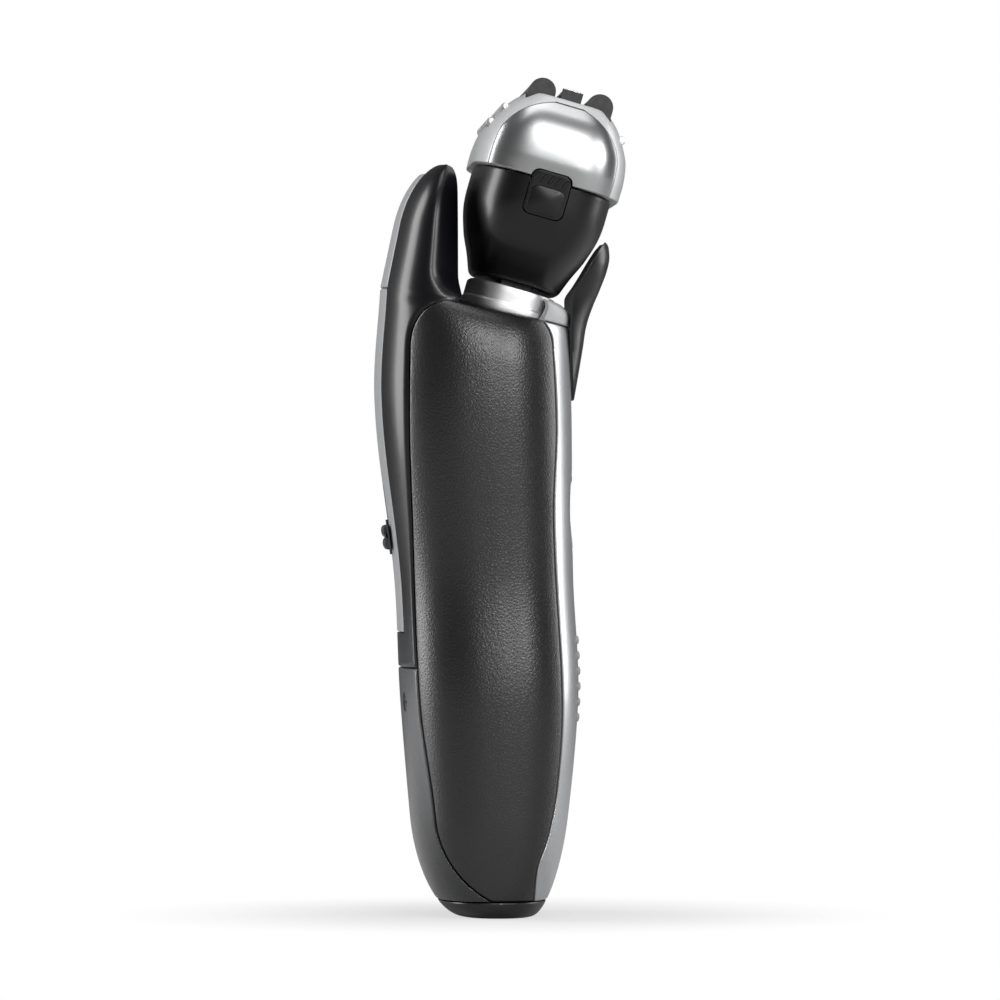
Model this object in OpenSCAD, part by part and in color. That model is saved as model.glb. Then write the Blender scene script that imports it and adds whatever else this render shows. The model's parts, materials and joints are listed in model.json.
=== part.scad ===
/* [Handle outline, measured from the upright centre line] */
// Height of the grips' top edge above the base
handle_height = 122; // [112:1:136]
// Reach of the front at the foot, before the foot is rounded
foot_front = 11.2; // [10.8:0.1:12.4]
// Reach of the front at the belly
belly_front = 15.5; // [15:0.1:17]
// Reach of the front at the waist
waist_front = 14.5; // [14:0.1:15]
// Reach of the front at the shoulder
shoulder_front = 14.2; // [13.8:0.1:15]
// Reach of the back at the foot, before the foot is rounded
foot_rear = 16.4; // [16:0.1:18]
// Reach of the back at the belly
belly_rear = 20.1; // [19.6:0.1:22]
// Reach of the back at the waist
waist_rear = 21.4; // [21:0.1:22.4]
// Reach of the back at the shoulder
shoulder_rear = 25.4; // [25:0.1:26.4]
// Reach of the back at the neck
neck_rear = 24.6; // [24.2:0.1:25.4]
// Width at the foot, before the foot is rounded
foot_width = 44; // [42:1:48]
// Width at the belly
belly_width = 51; // [49:1:56]
// Width at the waist
waist_width = 50; // [48:1:54]
// Width at the shoulder
shoulder_width = 56; // [54:1:60]
// Height over which the foot is rounded
foot_round_height = 20; // [17:1:22]
// How far the rounding brings the back of the foot in
foot_round_rear = 8.6; // [7:0.2:9]
// How far the rounding brings the front of the foot in
foot_round_front = 5.2; // [4:0.2:5.6]
// How far the rounding brings each side of the foot in
foot_round_side = 5; // [3:0.5:6]
// Squareness of the handle's section, where 2 is an ellipse
squareness = 2.5; // [2.2:0.1:2.8]

/* [Handle shells] */
// Thickness of the front, rear and lower shells
shell_wall = 1.8; // [1.5:0.1:2]
// Thickness of the elastomer grips
grip_wall = 1.8; // [1.5:0.1:2]
// Thickness of the inner housing's wall
housing_wall = 1.4; // [1.2:0.1:1.8]
// Gap between the outer shells and the inner housing
shell_gap = 0.15; // [0.1:0.05:0.25]
// Visible gap between two neighbouring outer pieces
seam = 0.24; // [0.16:0.02:0.4]
// Height of the base cap
base_cap_height = 3.2; // [2.8:0.1:4]
// Height at which the rear shell meets the rear lower panel
rear_seam_height = 50; // [46:1:54]

/* [Grips] */
// Front edge of the grips at the foot
grip_front_foot = 6.2; // [5.8:0.1:6.6]
// Front edge of the grips at the belly
grip_front_belly = 11.6; // [11.2:0.1:12.4]
// Front edge of the grips at the waist
grip_front_waist = 9.8; // [9.4:0.1:10.6]
// Front edge of the grips at the chest
grip_front_chest = 10.4; // [10:0.1:11.2]
// Rear edge of the grips at the foot, before its corner is rounded
grip_rear_foot = 13; // [12.6:0.1:13.4]
// Rear edge of the grips at the belly
grip_rear_belly = 16.9; // [16.4:0.1:17.2]
// Rear edge of the grips at the waist
grip_rear_waist = 18.5; // [18:0.1:18.8]
// Rear edge of the grips at the chest
grip_rear_chest = 19.2; // [18.8:0.1:19.6]

/* [Thumb dish and power button] */
// Height of the middle of the power button and of the dish round it
button_height = 81; // [79:1:84]
// Depth of the thumb dish
dish_depth = 1.1; // [0.6:0.1:1.2]
// Half the height of the thumb dish
dish_length = 9; // [8.6:0.2:10]
// Half the width of the thumb dish
dish_width = 13; // [10:0.5:15]
// Radius of the power button
button_radius = 6.4; // [6:0.1:6.8]
// Travel of the power button
button_travel = 0.6; // [0.4:0.1:0.8]

/* [Rear panel and trimmer switch] */
// Width of the grey rear panel
rear_panel_width = 24; // [22:1:26]
// Thickness of the grey rear panel
rear_panel_wall = 1.2; // [1:0.1:1.3]
// Height of the rear panel's lower end
rear_panel_bottom = 57; // [54:1:60]
// Height of the middle of the switch slot
switch_height = 76; // [74:1:80]
// Width of the trimmer switch knob
switch_width = 13; // [11:0.5:15]
// Length of the trimmer switch knob
switch_length = 5; // [4.4:0.2:6]
// How far the knob stands out of the rear panel
switch_reach = 1.2; // [0.8:0.1:1.8]
// Travel of the trimmer switch and of the trimmer
trimmer_travel = 7; // [5:0.5:7.5]

/* [Head] */
// Width of the foil frame over its end panels
head_width = 69.6; // [67:0.4:73]
// Depth of the foil frame at its seam
head_depth = 30.2; // [29.8:0.2:31]
// Height of the head housing up to the seam
housing_height = 20.6; // [20.4:0.2:22]
// Height of the foil frame above the seam
frame_height = 16.3; // [16.1:0.1:17]
// Wall of the head housing
bowl_wall = 1.6; // [1.2:0.1:1.8]
// Wall of the foil frame
frame_wall = 1.6; // [1.4:0.1:1.8]
// Thickness of the end panels
end_panel_wall = 1.1; // [0.8:0.1:1.2]
// Forward lean of the head and its neck
head_lean = 16; // [15:0.5:16.5]
// Height of the tilt pins above the head's floor
pivot_height = 13.5; // [12.5:0.5:14]
// Distance between the two foils
foil_spacing = 11.8; // [11.6:0.1:12]
// Outer radius of the foils
foil_radius = 2.6; // [2.5:0.05:2.7]
// Length of the foils
foil_length = 54; // [50:1:55]
// Thickness of the foils in this model
foil_wall = 0.25; // [0.2:0.05:0.3]
// How far the foils and the centre trimmer float
float_travel = 1.2; // [0.8:0.1:1.4]
// How far the blades swing to each side
blade_swing = 1; // [0.6:0.1:1.2]
// Width of the release buttons
release_width = 8; // [7.6:0.2:9]
// Height of the release buttons
release_height = 9; // [8.6:0.2:9.6]
// Radius of the tilt pins
tilt_pin_radius = 1.5; // [1.2:0.1:1.6]
// Radius of the glide rollers
roller_radius = 0.9; // [0.8:0.05:1]

/* [Hidden] */
eps = 0.01;

// ---- curves ----

// Slope of a curve of [position, value] stations at station i
function station_slope(s, i) =
    let(a = max(i - 1, 0), b = min(i + 1, len(s) - 1))
    (s[b][1] - s[a][1]) / (s[b][0] - s[a][0]);

// Value between stations i and i + 1 at position t
function station_blend(s, i, t) =
    let(h = s[i + 1][0] - s[i][0], u = (t - s[i][0]) / h)
    (2 * u ^ 3 - 3 * u ^ 2 + 1) * s[i][1]
    + (u ^ 3 - 2 * u ^ 2 + u) * h * station_slope(s, i)
    + (3 * u ^ 2 - 2 * u ^ 3) * s[i + 1][1]
    + (u ^ 3 - u ^ 2) * h * station_slope(s, i + 1);

// Smooth curve through the stations, level beyond its ends
function along(s, t, i = 0) =
    t <= s[0][0] ? s[0][1]
    : t >= s[len(s) - 1][0] ? s[len(s) - 1][1]
    : t <= s[i + 1][0] ? station_blend(s, i, t)
    : along(s, t, i + 1);

function steps(from, to, count) = [for (i = [0:count]) from + (to - from) * i / count];
function ease(u) = let(v = min(max(u, 0), 1)) v * v * (3 - 2 * v);
function signed_power(v, p) = sign(v) * abs(v) ^ p;
function mix(a, b, u) = a + (b - a) * u;

// How much of a rounding is left at distance t from its start, over the length reach
function rounding(t, reach) = t >= reach ? 0 : 1 - sqrt(1 - (1 - max(t, 0) / reach) ^ 2);

// ---- lofted solids ----

// Faces between rows of closed loops that run anticlockwise seen from above
function wall_faces(rows, n, first = 0, out = true) = [
    for (i = [0:rows - 2], k = [0:n - 1])
        let(a = first + i * n + k, b = first + i * n + (k + 1) % n)
        out ? [a, a + n, b + n, b] : [a, b, b + n, a + n]
];

// Solid between rows of closed loops. Each loop is a band: the first half of its points is one
// face, and the second half runs back along the other.
module band(rows) {
    n = len(rows[0]);
    last = (len(rows) - 1) * n;
    lid = [for (j = [0:n / 2 - 2]) [j, j + 1, n - 2 - j, n - 1 - j]];
    faces = concat(
        wall_faces(len(rows), n),
        lid,
        [for (f = lid) [last + f[3], last + f[2], last + f[1], last + f[0]]]
    );
    polyhedron([for (row = rows) each row], faces, convexity = 6);
}

// Solid inside rows of closed convex loops
module loft(rows) {
    n = len(rows[0]);
    last = (len(rows) - 1) * n;
    faces = concat(
        wall_faces(len(rows), n),
        [[for (k = [0:n - 1]) k]],
        [[for (k = [n - 1:-1:0]) last + k]]
    );
    polyhedron([for (row = rows) each row], faces, convexity = 4);
}

// Solid between outer rows and inner rows of closed loops
module tube(outer, inner) {
    n = len(outer[0]);
    rows = len(outer);
    half = rows * n;
    last = (rows - 1) * n;
    faces = concat(
        wall_faces(rows, n),
        wall_faces(rows, n, half, false),
        [for (k = [0:n - 1]) let(m = (k + 1) % n) [k, m, half + m, half + k]],
        [for (k = [0:n - 1]) let(m = (k + 1) % n) [last + m, last + k, last + half + k, last + half + m]]
    );
    polyhedron(concat([for (row = outer) each row], [for (row = inner) each row]), faces, convexity = 6);
}

// Solid cup: outer rows and inner rows of closed loops, both from the closed end to the rim
module cup(outer, inner) {
    n = len(outer[0]);
    half = len(outer) * n;
    rim = half - n;
    inner_rim = half + (len(inner) - 1) * n;
    faces = concat(
        wall_faces(len(outer), n),
        wall_faces(len(inner), n, half, false),
        [[for (k = [0:n - 1]) k]],
        [[for (k = [n - 1:-1:0]) half + k]],
        [for (k = [0:n - 1]) let(m = (k + 1) % n) [rim + m, rim + k, inner_rim + k, inner_rim + m]]
    );
    polyhedron(concat([for (row = outer) each row], [for (row = inner) each row]), faces, convexity = 8);
}

function reversed(loop) = [for (k = [len(loop) - 1:-1:0]) loop[k]];

// Rounded rectangle about the origin
module rounded_rect(w, h, r) {
    square([w - 2 * r, h], center = true);
    square([w, h - 2 * r], center = true);
    for (x = [-1, 1], y = [-1, 1])
        translate([x * (w / 2 - r), y * (h / 2 - r)]) circle(r, $fn = 32);
}

// ---- the handle's skin ----

neck_lean = 12;
lean_start = 0.74 * handle_height;
belly_height = 0.35 * handle_height;
waist_height = 0.56 * handle_height;
shoulder_height = 0.84 * handle_height;
shoulder_round = 4;
shoulder_round_height = 11;

front_stations = [
    [0, foot_front], [belly_height, belly_front], [waist_height, waist_front],
    [shoulder_height, shoulder_front], [handle_height, shoulder_front]
];
rear_stations = [
    [0, foot_rear], [belly_height, belly_rear], [waist_height, waist_rear],
    [shoulder_height, shoulder_rear], [handle_height, neck_rear]
];
width_stations = [
    [0, foot_width / 2], [belly_height, belly_width / 2], [waist_height, waist_width / 2],
    [shoulder_height, shoulder_width / 2], [handle_height, shoulder_width / 2]
];

function foot_rounding(h) = rounding(h, foot_round_height);
function front_reach(h) = along(front_stations, h) - foot_round_front * foot_rounding(h);
function rear_reach(h) = along(rear_stations, h) - foot_round_rear * foot_rounding(h);
function half_width(h) =
    along(width_stations, h) - foot_round_side * foot_rounding(h);
function centre_x(h) = (front_reach(h) - rear_reach(h)) / 2;
function half_depth(h) = (front_reach(h) + rear_reach(h)) / 2;
function lean(h) = neck_lean * ease((h - lean_start) / (handle_height - lean_start));

// Half width of the ring at height h for an angle round it: the shoulder's rounding fades out at the back
function width_at(h, angle) =
    half_width(h)
    - shoulder_round * rounding(handle_height - h, shoulder_round_height) * ease((cos(angle) + 0.85) / 0.9);

// Point of the skin on the ring at height h, at an angle round it from the front, a depth inside it
function skin(h, angle, depth = 0) =
    let(
        x = (half_depth(h) - depth) * signed_power(cos(angle), 2 / squareness),
        y = (width_at(h, angle) - depth) * signed_power(sin(angle), 2 / squareness)
    )
    [centre_x(h) + x * cos(lean(h)), y, h - x * sin(lean(h))];

// Angle round the ring at height h where the skin is at distance x along the ring's plane
function angle_at(h, x) =
    acos(signed_power(min(max((x - centre_x(h)) / half_depth(h), -1), 1), squareness / 2));

// Rows of band loops: the skin between two angles and two depths at each height
function skin_rows(heights, from, to, outer, inner, columns) = [
    for (h = heights)
        let(a = from(h), b = to(h))
        concat(
            [for (t = steps(a, b, columns)) skin(h, t, outer)],
            [for (t = steps(b, a, columns)) skin(h, t, inner)]
        )
];

function skin_loop(h, depth, columns = 40) = [
    for (k = [0:columns - 1]) skin(h, 360 * k / columns, depth)
];

// ---- edges of the outer pieces, as distances from the centre line ----

chest_height = 0.8 * handle_height;
grip_waist_height = 0.65 * handle_height;
grip_bottom = base_cap_height + seam;
front_shell_top = handle_height - 0.3;
grip_corner_height = 10;
grip_corner_rear = 10;
grip_corner_front = 3;
grip_foot_height = 20;
grip_foot_rear = 24;

grip_front_stations = [
    [0, grip_front_foot - 0.3], [0.5 * foot_round_height, grip_front_foot + 0.3],
    [0.8 * foot_round_height, grip_front_foot + 2.4], [1.3 * foot_round_height, grip_front_belly - 1],
    [belly_height, grip_front_belly], [grip_waist_height, grip_front_waist],
    [chest_height, grip_front_chest], [handle_height, grip_front_waist]
];
grip_rear_stations = [
    [0, grip_rear_foot], [foot_round_height, grip_rear_foot + 0.9], [belly_height, grip_rear_belly],
    [grip_waist_height, grip_rear_waist], [chest_height, grip_rear_chest], [handle_height, grip_rear_chest]
];
function grip_front_edge(h) =
    along(grip_front_stations, h)
    - grip_corner_front * rounding(handle_height - h, grip_corner_height / 2);
function grip_rear_edge(h) =
    -along(grip_rear_stations, h)
    + grip_foot_rear * rounding(h, grip_foot_height)
    + grip_corner_rear * rounding(handle_height - h, grip_corner_height);

function grip_front_angle(h) = angle_at(h, grip_front_edge(h));
function grip_rear_angle(h) = angle_at(h, grip_rear_edge(h));
function shell_front_angle(h) = angle_at(h, grip_front_edge(h) + seam);
function shell_rear_angle(h) = angle_at(h, grip_rear_edge(h) - seam);

// Row heights over the whole handle, closer together where the foot and the shoulder are rounded
function row_heights(from, to) =
    let(knots = concat(
        steps(0, 6, 5), steps(8, foot_round_height, 3), steps(foot_round_height + 7, shoulder_height, 10),
        steps(shoulder_height + 5, handle_height - 4, 2), [handle_height - 1.6, handle_height - 0.4]
    ))
    concat([from], [for (h = knots) if (h > from + 0.3 && h < to - 0.3) h], [to]);

module grip_left() {
    color("#26272a")
    band(skin_rows(
        row_heights(grip_bottom, handle_height),
        function(h) grip_front_angle(h), function(h) grip_rear_angle(h), 0, grip_wall, 12
    ));
}

module grip_right() {
    mirror([0, 1, 0]) grip_left();
}

// ---- front shell, power button and finger dots ----

button_ring_width = 1.1;
button_gap = 0.12;
button_proud = 0.06;
ring_proud = 0.16;
button_x = front_reach(button_height);
ring_outer = button_radius + button_gap + button_ring_width;
ring_bore = ring_outer + 0.05;

// Places children with +Z pointing out of the front shell at a height on its middle line
module on_front(h, side = 0) {
    slope = atan((front_reach(h + 1) - front_reach(h - 1)) / 2);
    u = abs(side / half_width(h));
    turn = sign(side) * atan(
        half_depth(h) / half_width(h) * u ^ (squareness - 1) * (1 - u ^ squareness) ^ (1 / squareness - 1)
    );
    drop = half_depth(h) * (1 - (1 - u ^ squareness) ^ (1 / squareness));
    translate([front_reach(h) - drop, side, h])
        rotate([0, 0, turn]) rotate([0, 90 + slope, 0]) children();
}

function hump(u) = abs(u) >= 1 ? 0 : cos(90 * u) ^ 2;
function thumb_dish(h, y) = dish_depth * hump((h - button_height) / dish_length) * hump(y / dish_width);

// Point of the front shell's outside, standing out of it by a distance
function front_point(h, angle, out) =
    skin(h, angle, thumb_dish(h, width_at(h, angle) * signed_power(sin(angle), 2 / squareness)) - out);
function front_row(h, half_angle, columns, out, deep) = concat(
    [for (t = steps(-half_angle, half_angle, columns)) front_point(h, t, out)],
    [for (t = steps(half_angle, -half_angle, columns)) skin(h, t, deep)]
);

// Round piece of the front shell about the button's middle, standing out of the dish by a distance
module front_disc(radius, out) {
    intersection() {
        band([for (h = steps(button_height - 9, button_height + 9, 10)) front_row(h, 20, 10, out, shell_wall)]);
        on_front(button_height) translate([0, 0, -3 * shell_wall]) cylinder(r = radius, h = 6 * shell_wall, $fn = 64);
    }
}

front_rows = concat(
    row_heights(base_cap_height + seam, button_height - dish_length - 0.6),
    steps(button_height - dish_length, button_height + dish_length, 9),
    row_heights(button_height + dish_length + 0.6, front_shell_top)
);

module front_shell() {
    color("#c3c5c6")
    difference() {
        band([for (h = front_rows) front_row(h, shell_front_angle(h), 20, 0, shell_wall)]);
        on_front(button_height)
            translate([0, 0, -2 * shell_wall]) cylinder(r = ring_bore, h = 4 * shell_wall, $fn = 64);
        on_front(lens_height)
            translate([0, 0, -2 * shell_wall]) cylinder(r = lens_radius + 0.1, h = 4 * shell_wall, $fn = 32);
    }
}

lens_below = 15;
lens_height = button_height - lens_below;
lens_radius = 1.5;

module indicator_lens() {
    color("#dfe8ea")
    on_front(lens_height) {
        translate([0, 0, -shell_wall]) cylinder(r = lens_radius, h = shell_wall, $fn = 32);
        translate([0, 0, -shell_wall - shell_gap]) cylinder(r = lens_radius - 0.3, h = shell_gap, $fn = 32);
    }
}

module power_button_ring() {
    color("#d6d8da")
    difference() {
        front_disc(ring_outer, ring_proud);
        on_front(button_height) translate([0, 0, -3 * shell_wall])
            cylinder(r = button_radius + button_gap, h = 6 * shell_wall, $fn = 64);
    }
}

button_flange = 0.7;
button_flange_drop = 0.55;

module power_button() {
    color("#b9bcbe")
    front_disc(button_radius, button_proud);
    on_front(button_height) {
        translate([0, 0, -shell_wall - button_flange_drop - button_flange])
            cylinder(r = button_radius + button_flange, h = button_flange, $fn = 64);
        translate([0, 0, -shell_wall - button_flange_drop - 0.1])
            cylinder(r = button_radius - 0.5, h = button_flange_drop + 0.4, $fn = 48);
        translate([0, 0, -shell_wall - button_stem]) cylinder(r = button_stem_radius, h = button_stem + eps, $fn = 48);
    }
}

button_stem = 3;
button_stem_radius = 2.4;

dot_rows = 6;
dot_columns = 5;
dot_pitch = 3.1;
dot_spacing = 4;
dot_radius = 0.85;
dot_proud = 0.4;
dot_first_height = 39.8;

module finger_dots() {
    color("#8f9294")
    for (row = [0:dot_rows - 1], column = [0:dot_columns - 1]) {
        side = (column - (dot_columns - 1) / 2) * dot_spacing;
        on_front(dot_first_height + row * dot_pitch, side)
            translate([0, 0, 0.06]) intersection() {
                cylinder(r = dot_radius, h = dot_proud, $fn = 24);
                translate([0, 0, dot_proud - 1.3]) sphere(r = 1.3, $fn = 32);
            }
    }
}
// ---- rear shell, whose top rises as the guard behind the head ----

guard_height = 27;
guard_top = handle_height + guard_height;
guard_front_low = 3.2;
guard_front_high = 3.9;
guard_top_round = 14;
guard_tip_round = 5;
guard_top_inset_rear = 7;
guard_top_inset_front = 2;
guard_scoop = 0.3;
guard_dish = 3;
guard_share_top = 0.62;

// Distance of the guard's rear and front faces from the handle's top centre, along the leaning plane
function guard_rear(h) =
    neck_half_depth - (h - handle_height) * sin(neck_lean)
    - guard_top_inset_rear * rounding(guard_top - h, guard_top_round);
function guard_front(h) =
    mix(guard_front_low, guard_front_high, ease((h - handle_height) / guard_tip_round))
    + guard_top_inset_front * rounding(guard_top - h, guard_tip_round);
function guard_share(h) =
    mix(1, 0.92, (h - handle_height) / guard_height)
    - (0.92 - guard_share_top) * rounding(guard_top - h, guard_top_round);
function guard_hollow(h) =
    guard_dish * ease((h - handle_height) / 4) * (1 - 0.85 * (h - handle_height) / guard_height);

neck_half_depth = half_depth(handle_height);
neck_centre_x = centre_x(handle_height);
neck_edge_angle = shell_rear_angle(handle_height);

// Point in the guard's leaning plane at height h, along and across
function guard_plane(h, along_x, y) =
    [neck_centre_x + along_x * cos(neck_lean), y, h - along_x * sin(neck_lean)];

// Point of the guard's outside at an angle round the handle's top ring, moved in from the back
function guard_point(h, angle, inset) =
    let(
        base = -neck_half_depth * signed_power(-cos(angle), 2 / squareness),
        v = (-guard_front_low - base) / (neck_half_depth - guard_front_low),
        x = -mix(guard_front(h), guard_rear(h), v),
        scoop = guard_scoop * ease((h - handle_height) / 6) * (1 - min(v / 0.5, 1)) ^ 2,
        y = width_at(handle_height, angle) * signed_power(sin(angle), 2 / squareness)
    )
    guard_plane(h, x + inset, y * guard_share(h) * (1 - scoop));

// Angle on a ring where the skin is half the rear panel's width from the middle
function panel_angle(h, half) = 180 - asin((half / (shoulder_width / 2)) ^ (squareness / 2));
function guard_corner(h, half) = panel_angle(handle_height, half / guard_share(h));

rear_columns_side = 6;
rear_columns_back = 8;
recess_depth = rear_panel_wall + 0.1;
recess_slope = 0.3;
recess_step = 0.06;
recess_half = rear_panel_width / 2 + 1.5 * seam;

// Angles of the rear shell's outside at one height, each with its depth: side, recess, side
function rear_profile(edge, corner, deep) = concat(
    [for (t = steps(edge, corner, rear_columns_side)) [t, 0]],
    [for (t = steps(corner + recess_slope, 360 - corner - recess_slope, rear_columns_back)) [t, deep]],
    [for (t = steps(360 - corner, 360 - edge, rear_columns_side)) [t, 0]]
);

function rear_shell_row(h, deep) =
    let(profile = rear_profile(shell_rear_angle(h), panel_angle(h, recess_half), deep), n = len(profile))
    concat(
        [for (p = profile) skin(h, p[0], p[1])],
        [for (i = [n - 1:-1:0]) skin(h, profile[i][0], shell_wall)]
    );

function guard_row(h) =
    let(
        profile = rear_profile(neck_edge_angle, guard_corner(h, recess_half),
            min(recess_depth, 0.4 * (guard_rear(h) - guard_front(h)))),
        n = len(profile),
        first = guard_point(h, profile[0][0], 0)
    )
    concat(
        [for (p = profile) guard_point(h, p[0], p[1])],
        [for (i = [n - 1:-1:0])
            let(u = 1 - 2 * i / (n - 1))
            guard_plane(h, -guard_front(h) - guard_hollow(h) * (1 - u * u) - 0.2,
                u * first[1] * 0.97)]
    );

cover_bottom = handle_height + 0.12;
cover_top = guard_top - 2.6;

module rear_shell_blank() {
    lower = [for (h = row_heights(rear_seam_height, rear_panel_bottom - seam)) rear_shell_row(h, 0)];
    upper = [for (h = row_heights(rear_panel_bottom - seam + recess_step, handle_height)) rear_shell_row(h, recess_depth)];
    guard = [for (h = concat(steps(handle_height + 0.05, cover_top, 9), [guard_top - 1.2, guard_top - 0.35, guard_top]))
        guard_row(h)];
    band(concat(lower, upper, guard));
}

trimmer_width = rear_panel_width - 5;
trimmer_depth = 3.4;
trimmer_gap = 0.25;
cover_inner_x = -neck_half_depth + rear_panel_wall;
trimmer_x = -guard_rear(cover_top) - (cover_top - handle_height) * sin(neck_lean) + rear_panel_wall + 0.7;
trimmer_bottom = handle_height + 5;
slot_width = 5;
slot_half_length = 4;
flange_half_width = 5;

// Places children in the guard's leaning frame: +Z up the guard, origin at the handle's top centre
module guard_frame() {
    translate([neck_centre_x, 0, handle_height]) rotate([0, neck_lean, 0]) children();
}

// Places children with +Z pointing out of the back of the handle at the switch
module on_switch() {
    rise = trimmer_travel + 2;
    slope = atan((rear_reach(switch_height + rise) - rear_reach(switch_height - 2)) / (rise + 2));
    translate([-rear_reach(switch_height), 0, switch_height]) rotate([0, -90 - slope, 0]) children();
}

module rear_shell() {
    color("#1c1d20")
    difference() {
        rear_shell_blank();
        guard_frame()
            translate([cover_inner_x - 8, -trimmer_width / 2 - trimmer_gap, trimmer_bottom - handle_height])
                cube([trimmer_x + trimmer_depth + trimmer_gap - cover_inner_x + 8, trimmer_width + 2 * trimmer_gap,
                    2 * guard_height]);
        on_switch()
            translate([-slot_half_length, -slot_width / 2, -2 * shell_wall])
                cube([2 * slot_half_length + trimmer_travel, slot_width, 4 * shell_wall]);
    }
}

// Band loops of the rear panel and of the trimmer's cover, which fill the rear shell's recess
function panel_row(h) =
    let(corner = panel_angle(h, rear_panel_width / 2))
    concat(
        [for (t = steps(corner, 360 - corner, rear_columns_back)) skin(h, t, 0)],
        [for (t = steps(360 - corner, corner, rear_columns_back)) skin(h, t, rear_panel_wall)]
    );
function cover_row(h) =
    let(corner = guard_corner(h, rear_panel_width / 2 - 0.15))
    concat(
        [for (t = steps(corner, 360 - corner, rear_columns_back)) guard_point(h, t, 0)],
        [for (t = steps(360 - corner, corner, rear_columns_back)) guard_point(h, t, rear_panel_wall)]
    );

module rear_panel() {
    color("#8d9092")
    difference() {
        band([for (h = row_heights(rear_panel_bottom, handle_height - 0.2)) panel_row(h)]);
        on_switch()
            translate([-slot_half_length, -slot_width / 2, -2 * shell_wall])
                cube([2 * slot_half_length + trimmer_travel, slot_width, 4 * shell_wall]);
    }
}

module trimmer_cover() {
    color("#9a9d9f")
    band([for (h = steps(cover_bottom, cover_top, 8)) cover_row(h)]);
}

screw_height = 43;
screw_spacing = 18;
screw_radius = 1;
screw_head_radius = 1.9;
screw_head_depth = 1.1;

// Places children with +Z pointing out of the back of the handle at a height and a distance aside
module on_back(h, side = 0) {
    slope = atan((rear_reach(h + 1) - rear_reach(h - 1)) / 2);
    u = abs(side / half_width(h));
    turn = -sign(side) * atan(
        half_depth(h) / half_width(h) * u ^ (squareness - 1) * (1 - u ^ squareness) ^ (1 / squareness - 1)
    );
    drop = half_depth(h) * (1 - (1 - u ^ squareness) ^ (1 / squareness));
    translate([-rear_reach(h) + drop, side, h])
        rotate([0, 0, turn]) rotate([0, -90 - slope, 0]) children();
}

module rear_lower_panel() {
    color("#5e6164")
    difference() {
        band(skin_rows(
            row_heights(base_cap_height + seam, rear_seam_height - seam),
            function(h) shell_rear_angle(h), function(h) 360 - shell_rear_angle(h), 0, shell_wall, 20
        ));
        for (side = [-1, 1]) on_back(screw_height, side * screw_spacing / 2) {
            translate([0, 0, -screw_head_depth]) cylinder(r = screw_head_radius + 0.1, h = 4, $fn = 48);
            translate([0, 0, -4]) cylinder(r = screw_radius + 0.1, h = 8, $fn = 32);
        }
    }
}

module panel_screws() {
    color("#84878a")
    for (side = [-1, 1]) on_back(screw_height, side * screw_spacing / 2) {
        difference() {
            translate([0, 0, -screw_head_depth]) cylinder(r = screw_head_radius, h = 0.8, $fn = 48);
            for (a = [0, 90]) rotate([0, 0, a])
                translate([-1.1, -0.2, -screw_head_depth + 0.4]) cube([2.2, 0.4, 1]);
        }
        translate([0, 0, -screw_head_depth - 4.4]) cylinder(r = screw_radius, h = 4.4 + eps, $fn = 32);
    }
}

module base_cap() {
    color("#17181a")
    difference() {
        loft([for (h = [0, 0.12, 0.5, 1.2, 2.1, base_cap_height]) skin_loop(h, 0)]);
        for (side = [-1, 1])
            translate([contact_x, side * contact_spacing / 2, -eps])
                cylinder(r = contact_radius + 0.05, h = base_cap_height + 1, $fn = 48);
    }
}

contact_radius = 2;
contact_spacing = 12;
contact_x = -0.6;
contact_recess = 0.5;

module charging_contacts() {
    color("#c9a14a")
    for (side = [-1, 1])
        translate([contact_x, side * contact_spacing / 2, contact_recess])
            cylinder(r = contact_radius, h = base_cap_height + 1.2, $fn = 48);
}

skin_depth = max(shell_wall, grip_wall) + shell_gap;
housing_bottom = base_cap_height + seam;
housing_top = handle_height - 3.2;
housing_rows = concat(steps(housing_bottom, foot_round_height, 5), steps(foot_round_height + 8, housing_top, 11));

// Round hole through the inner housing, for use where +Z points out of the handle
module housing_hole(radius) {
    translate([0, 0, -skin_depth - 2 * housing_wall]) cylinder(r = radius, h = 4 * housing_wall, $fn = 48);
}

module inner_housing() {
    color("#2b2d31")
    difference() {
        tube(
            [for (h = housing_rows) skin_loop(h, skin_depth, 28)],
            [for (h = housing_rows) skin_loop(h, skin_depth + housing_wall, 28)]
        );
        on_front(button_height) housing_hole(ring_outer + 0.3);
        on_front(lens_height) housing_hole(lens_radius);
        on_switch()
            translate([-slot_half_length - 0.6, -flange_half_width - 0.6, -skin_depth - 2 * housing_wall])
                cube([2 * slot_half_length + trimmer_travel + 1.2, 2 * flange_half_width + 1.2, 4 * housing_wall]);
        for (side = [-1, 1]) on_back(screw_height, side * screw_spacing / 2) housing_hole(screw_radius + 0.02);
    }
}
// ---- the head's frame: +Z up the head, +X to its front, origin at its floor ----

neck_forward = 6.5;
neck_rise = 5.9;
seam_gap = 0.3;
frame_bottom = housing_height + seam_gap;
frame_top = frame_bottom + frame_height;

module head_frame() {
    guard_frame() translate([neck_forward, 0, neck_rise]) rotate([0, head_lean - neck_lean, 0]) children();
}

bowl_squareness = 3.4;
frame_squareness = 5;
frame_overhang = 1.1;
bowl_half_depth = head_depth / 2 - frame_overhang;
bowl_half_width = head_width / 2 - frame_overhang;

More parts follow.
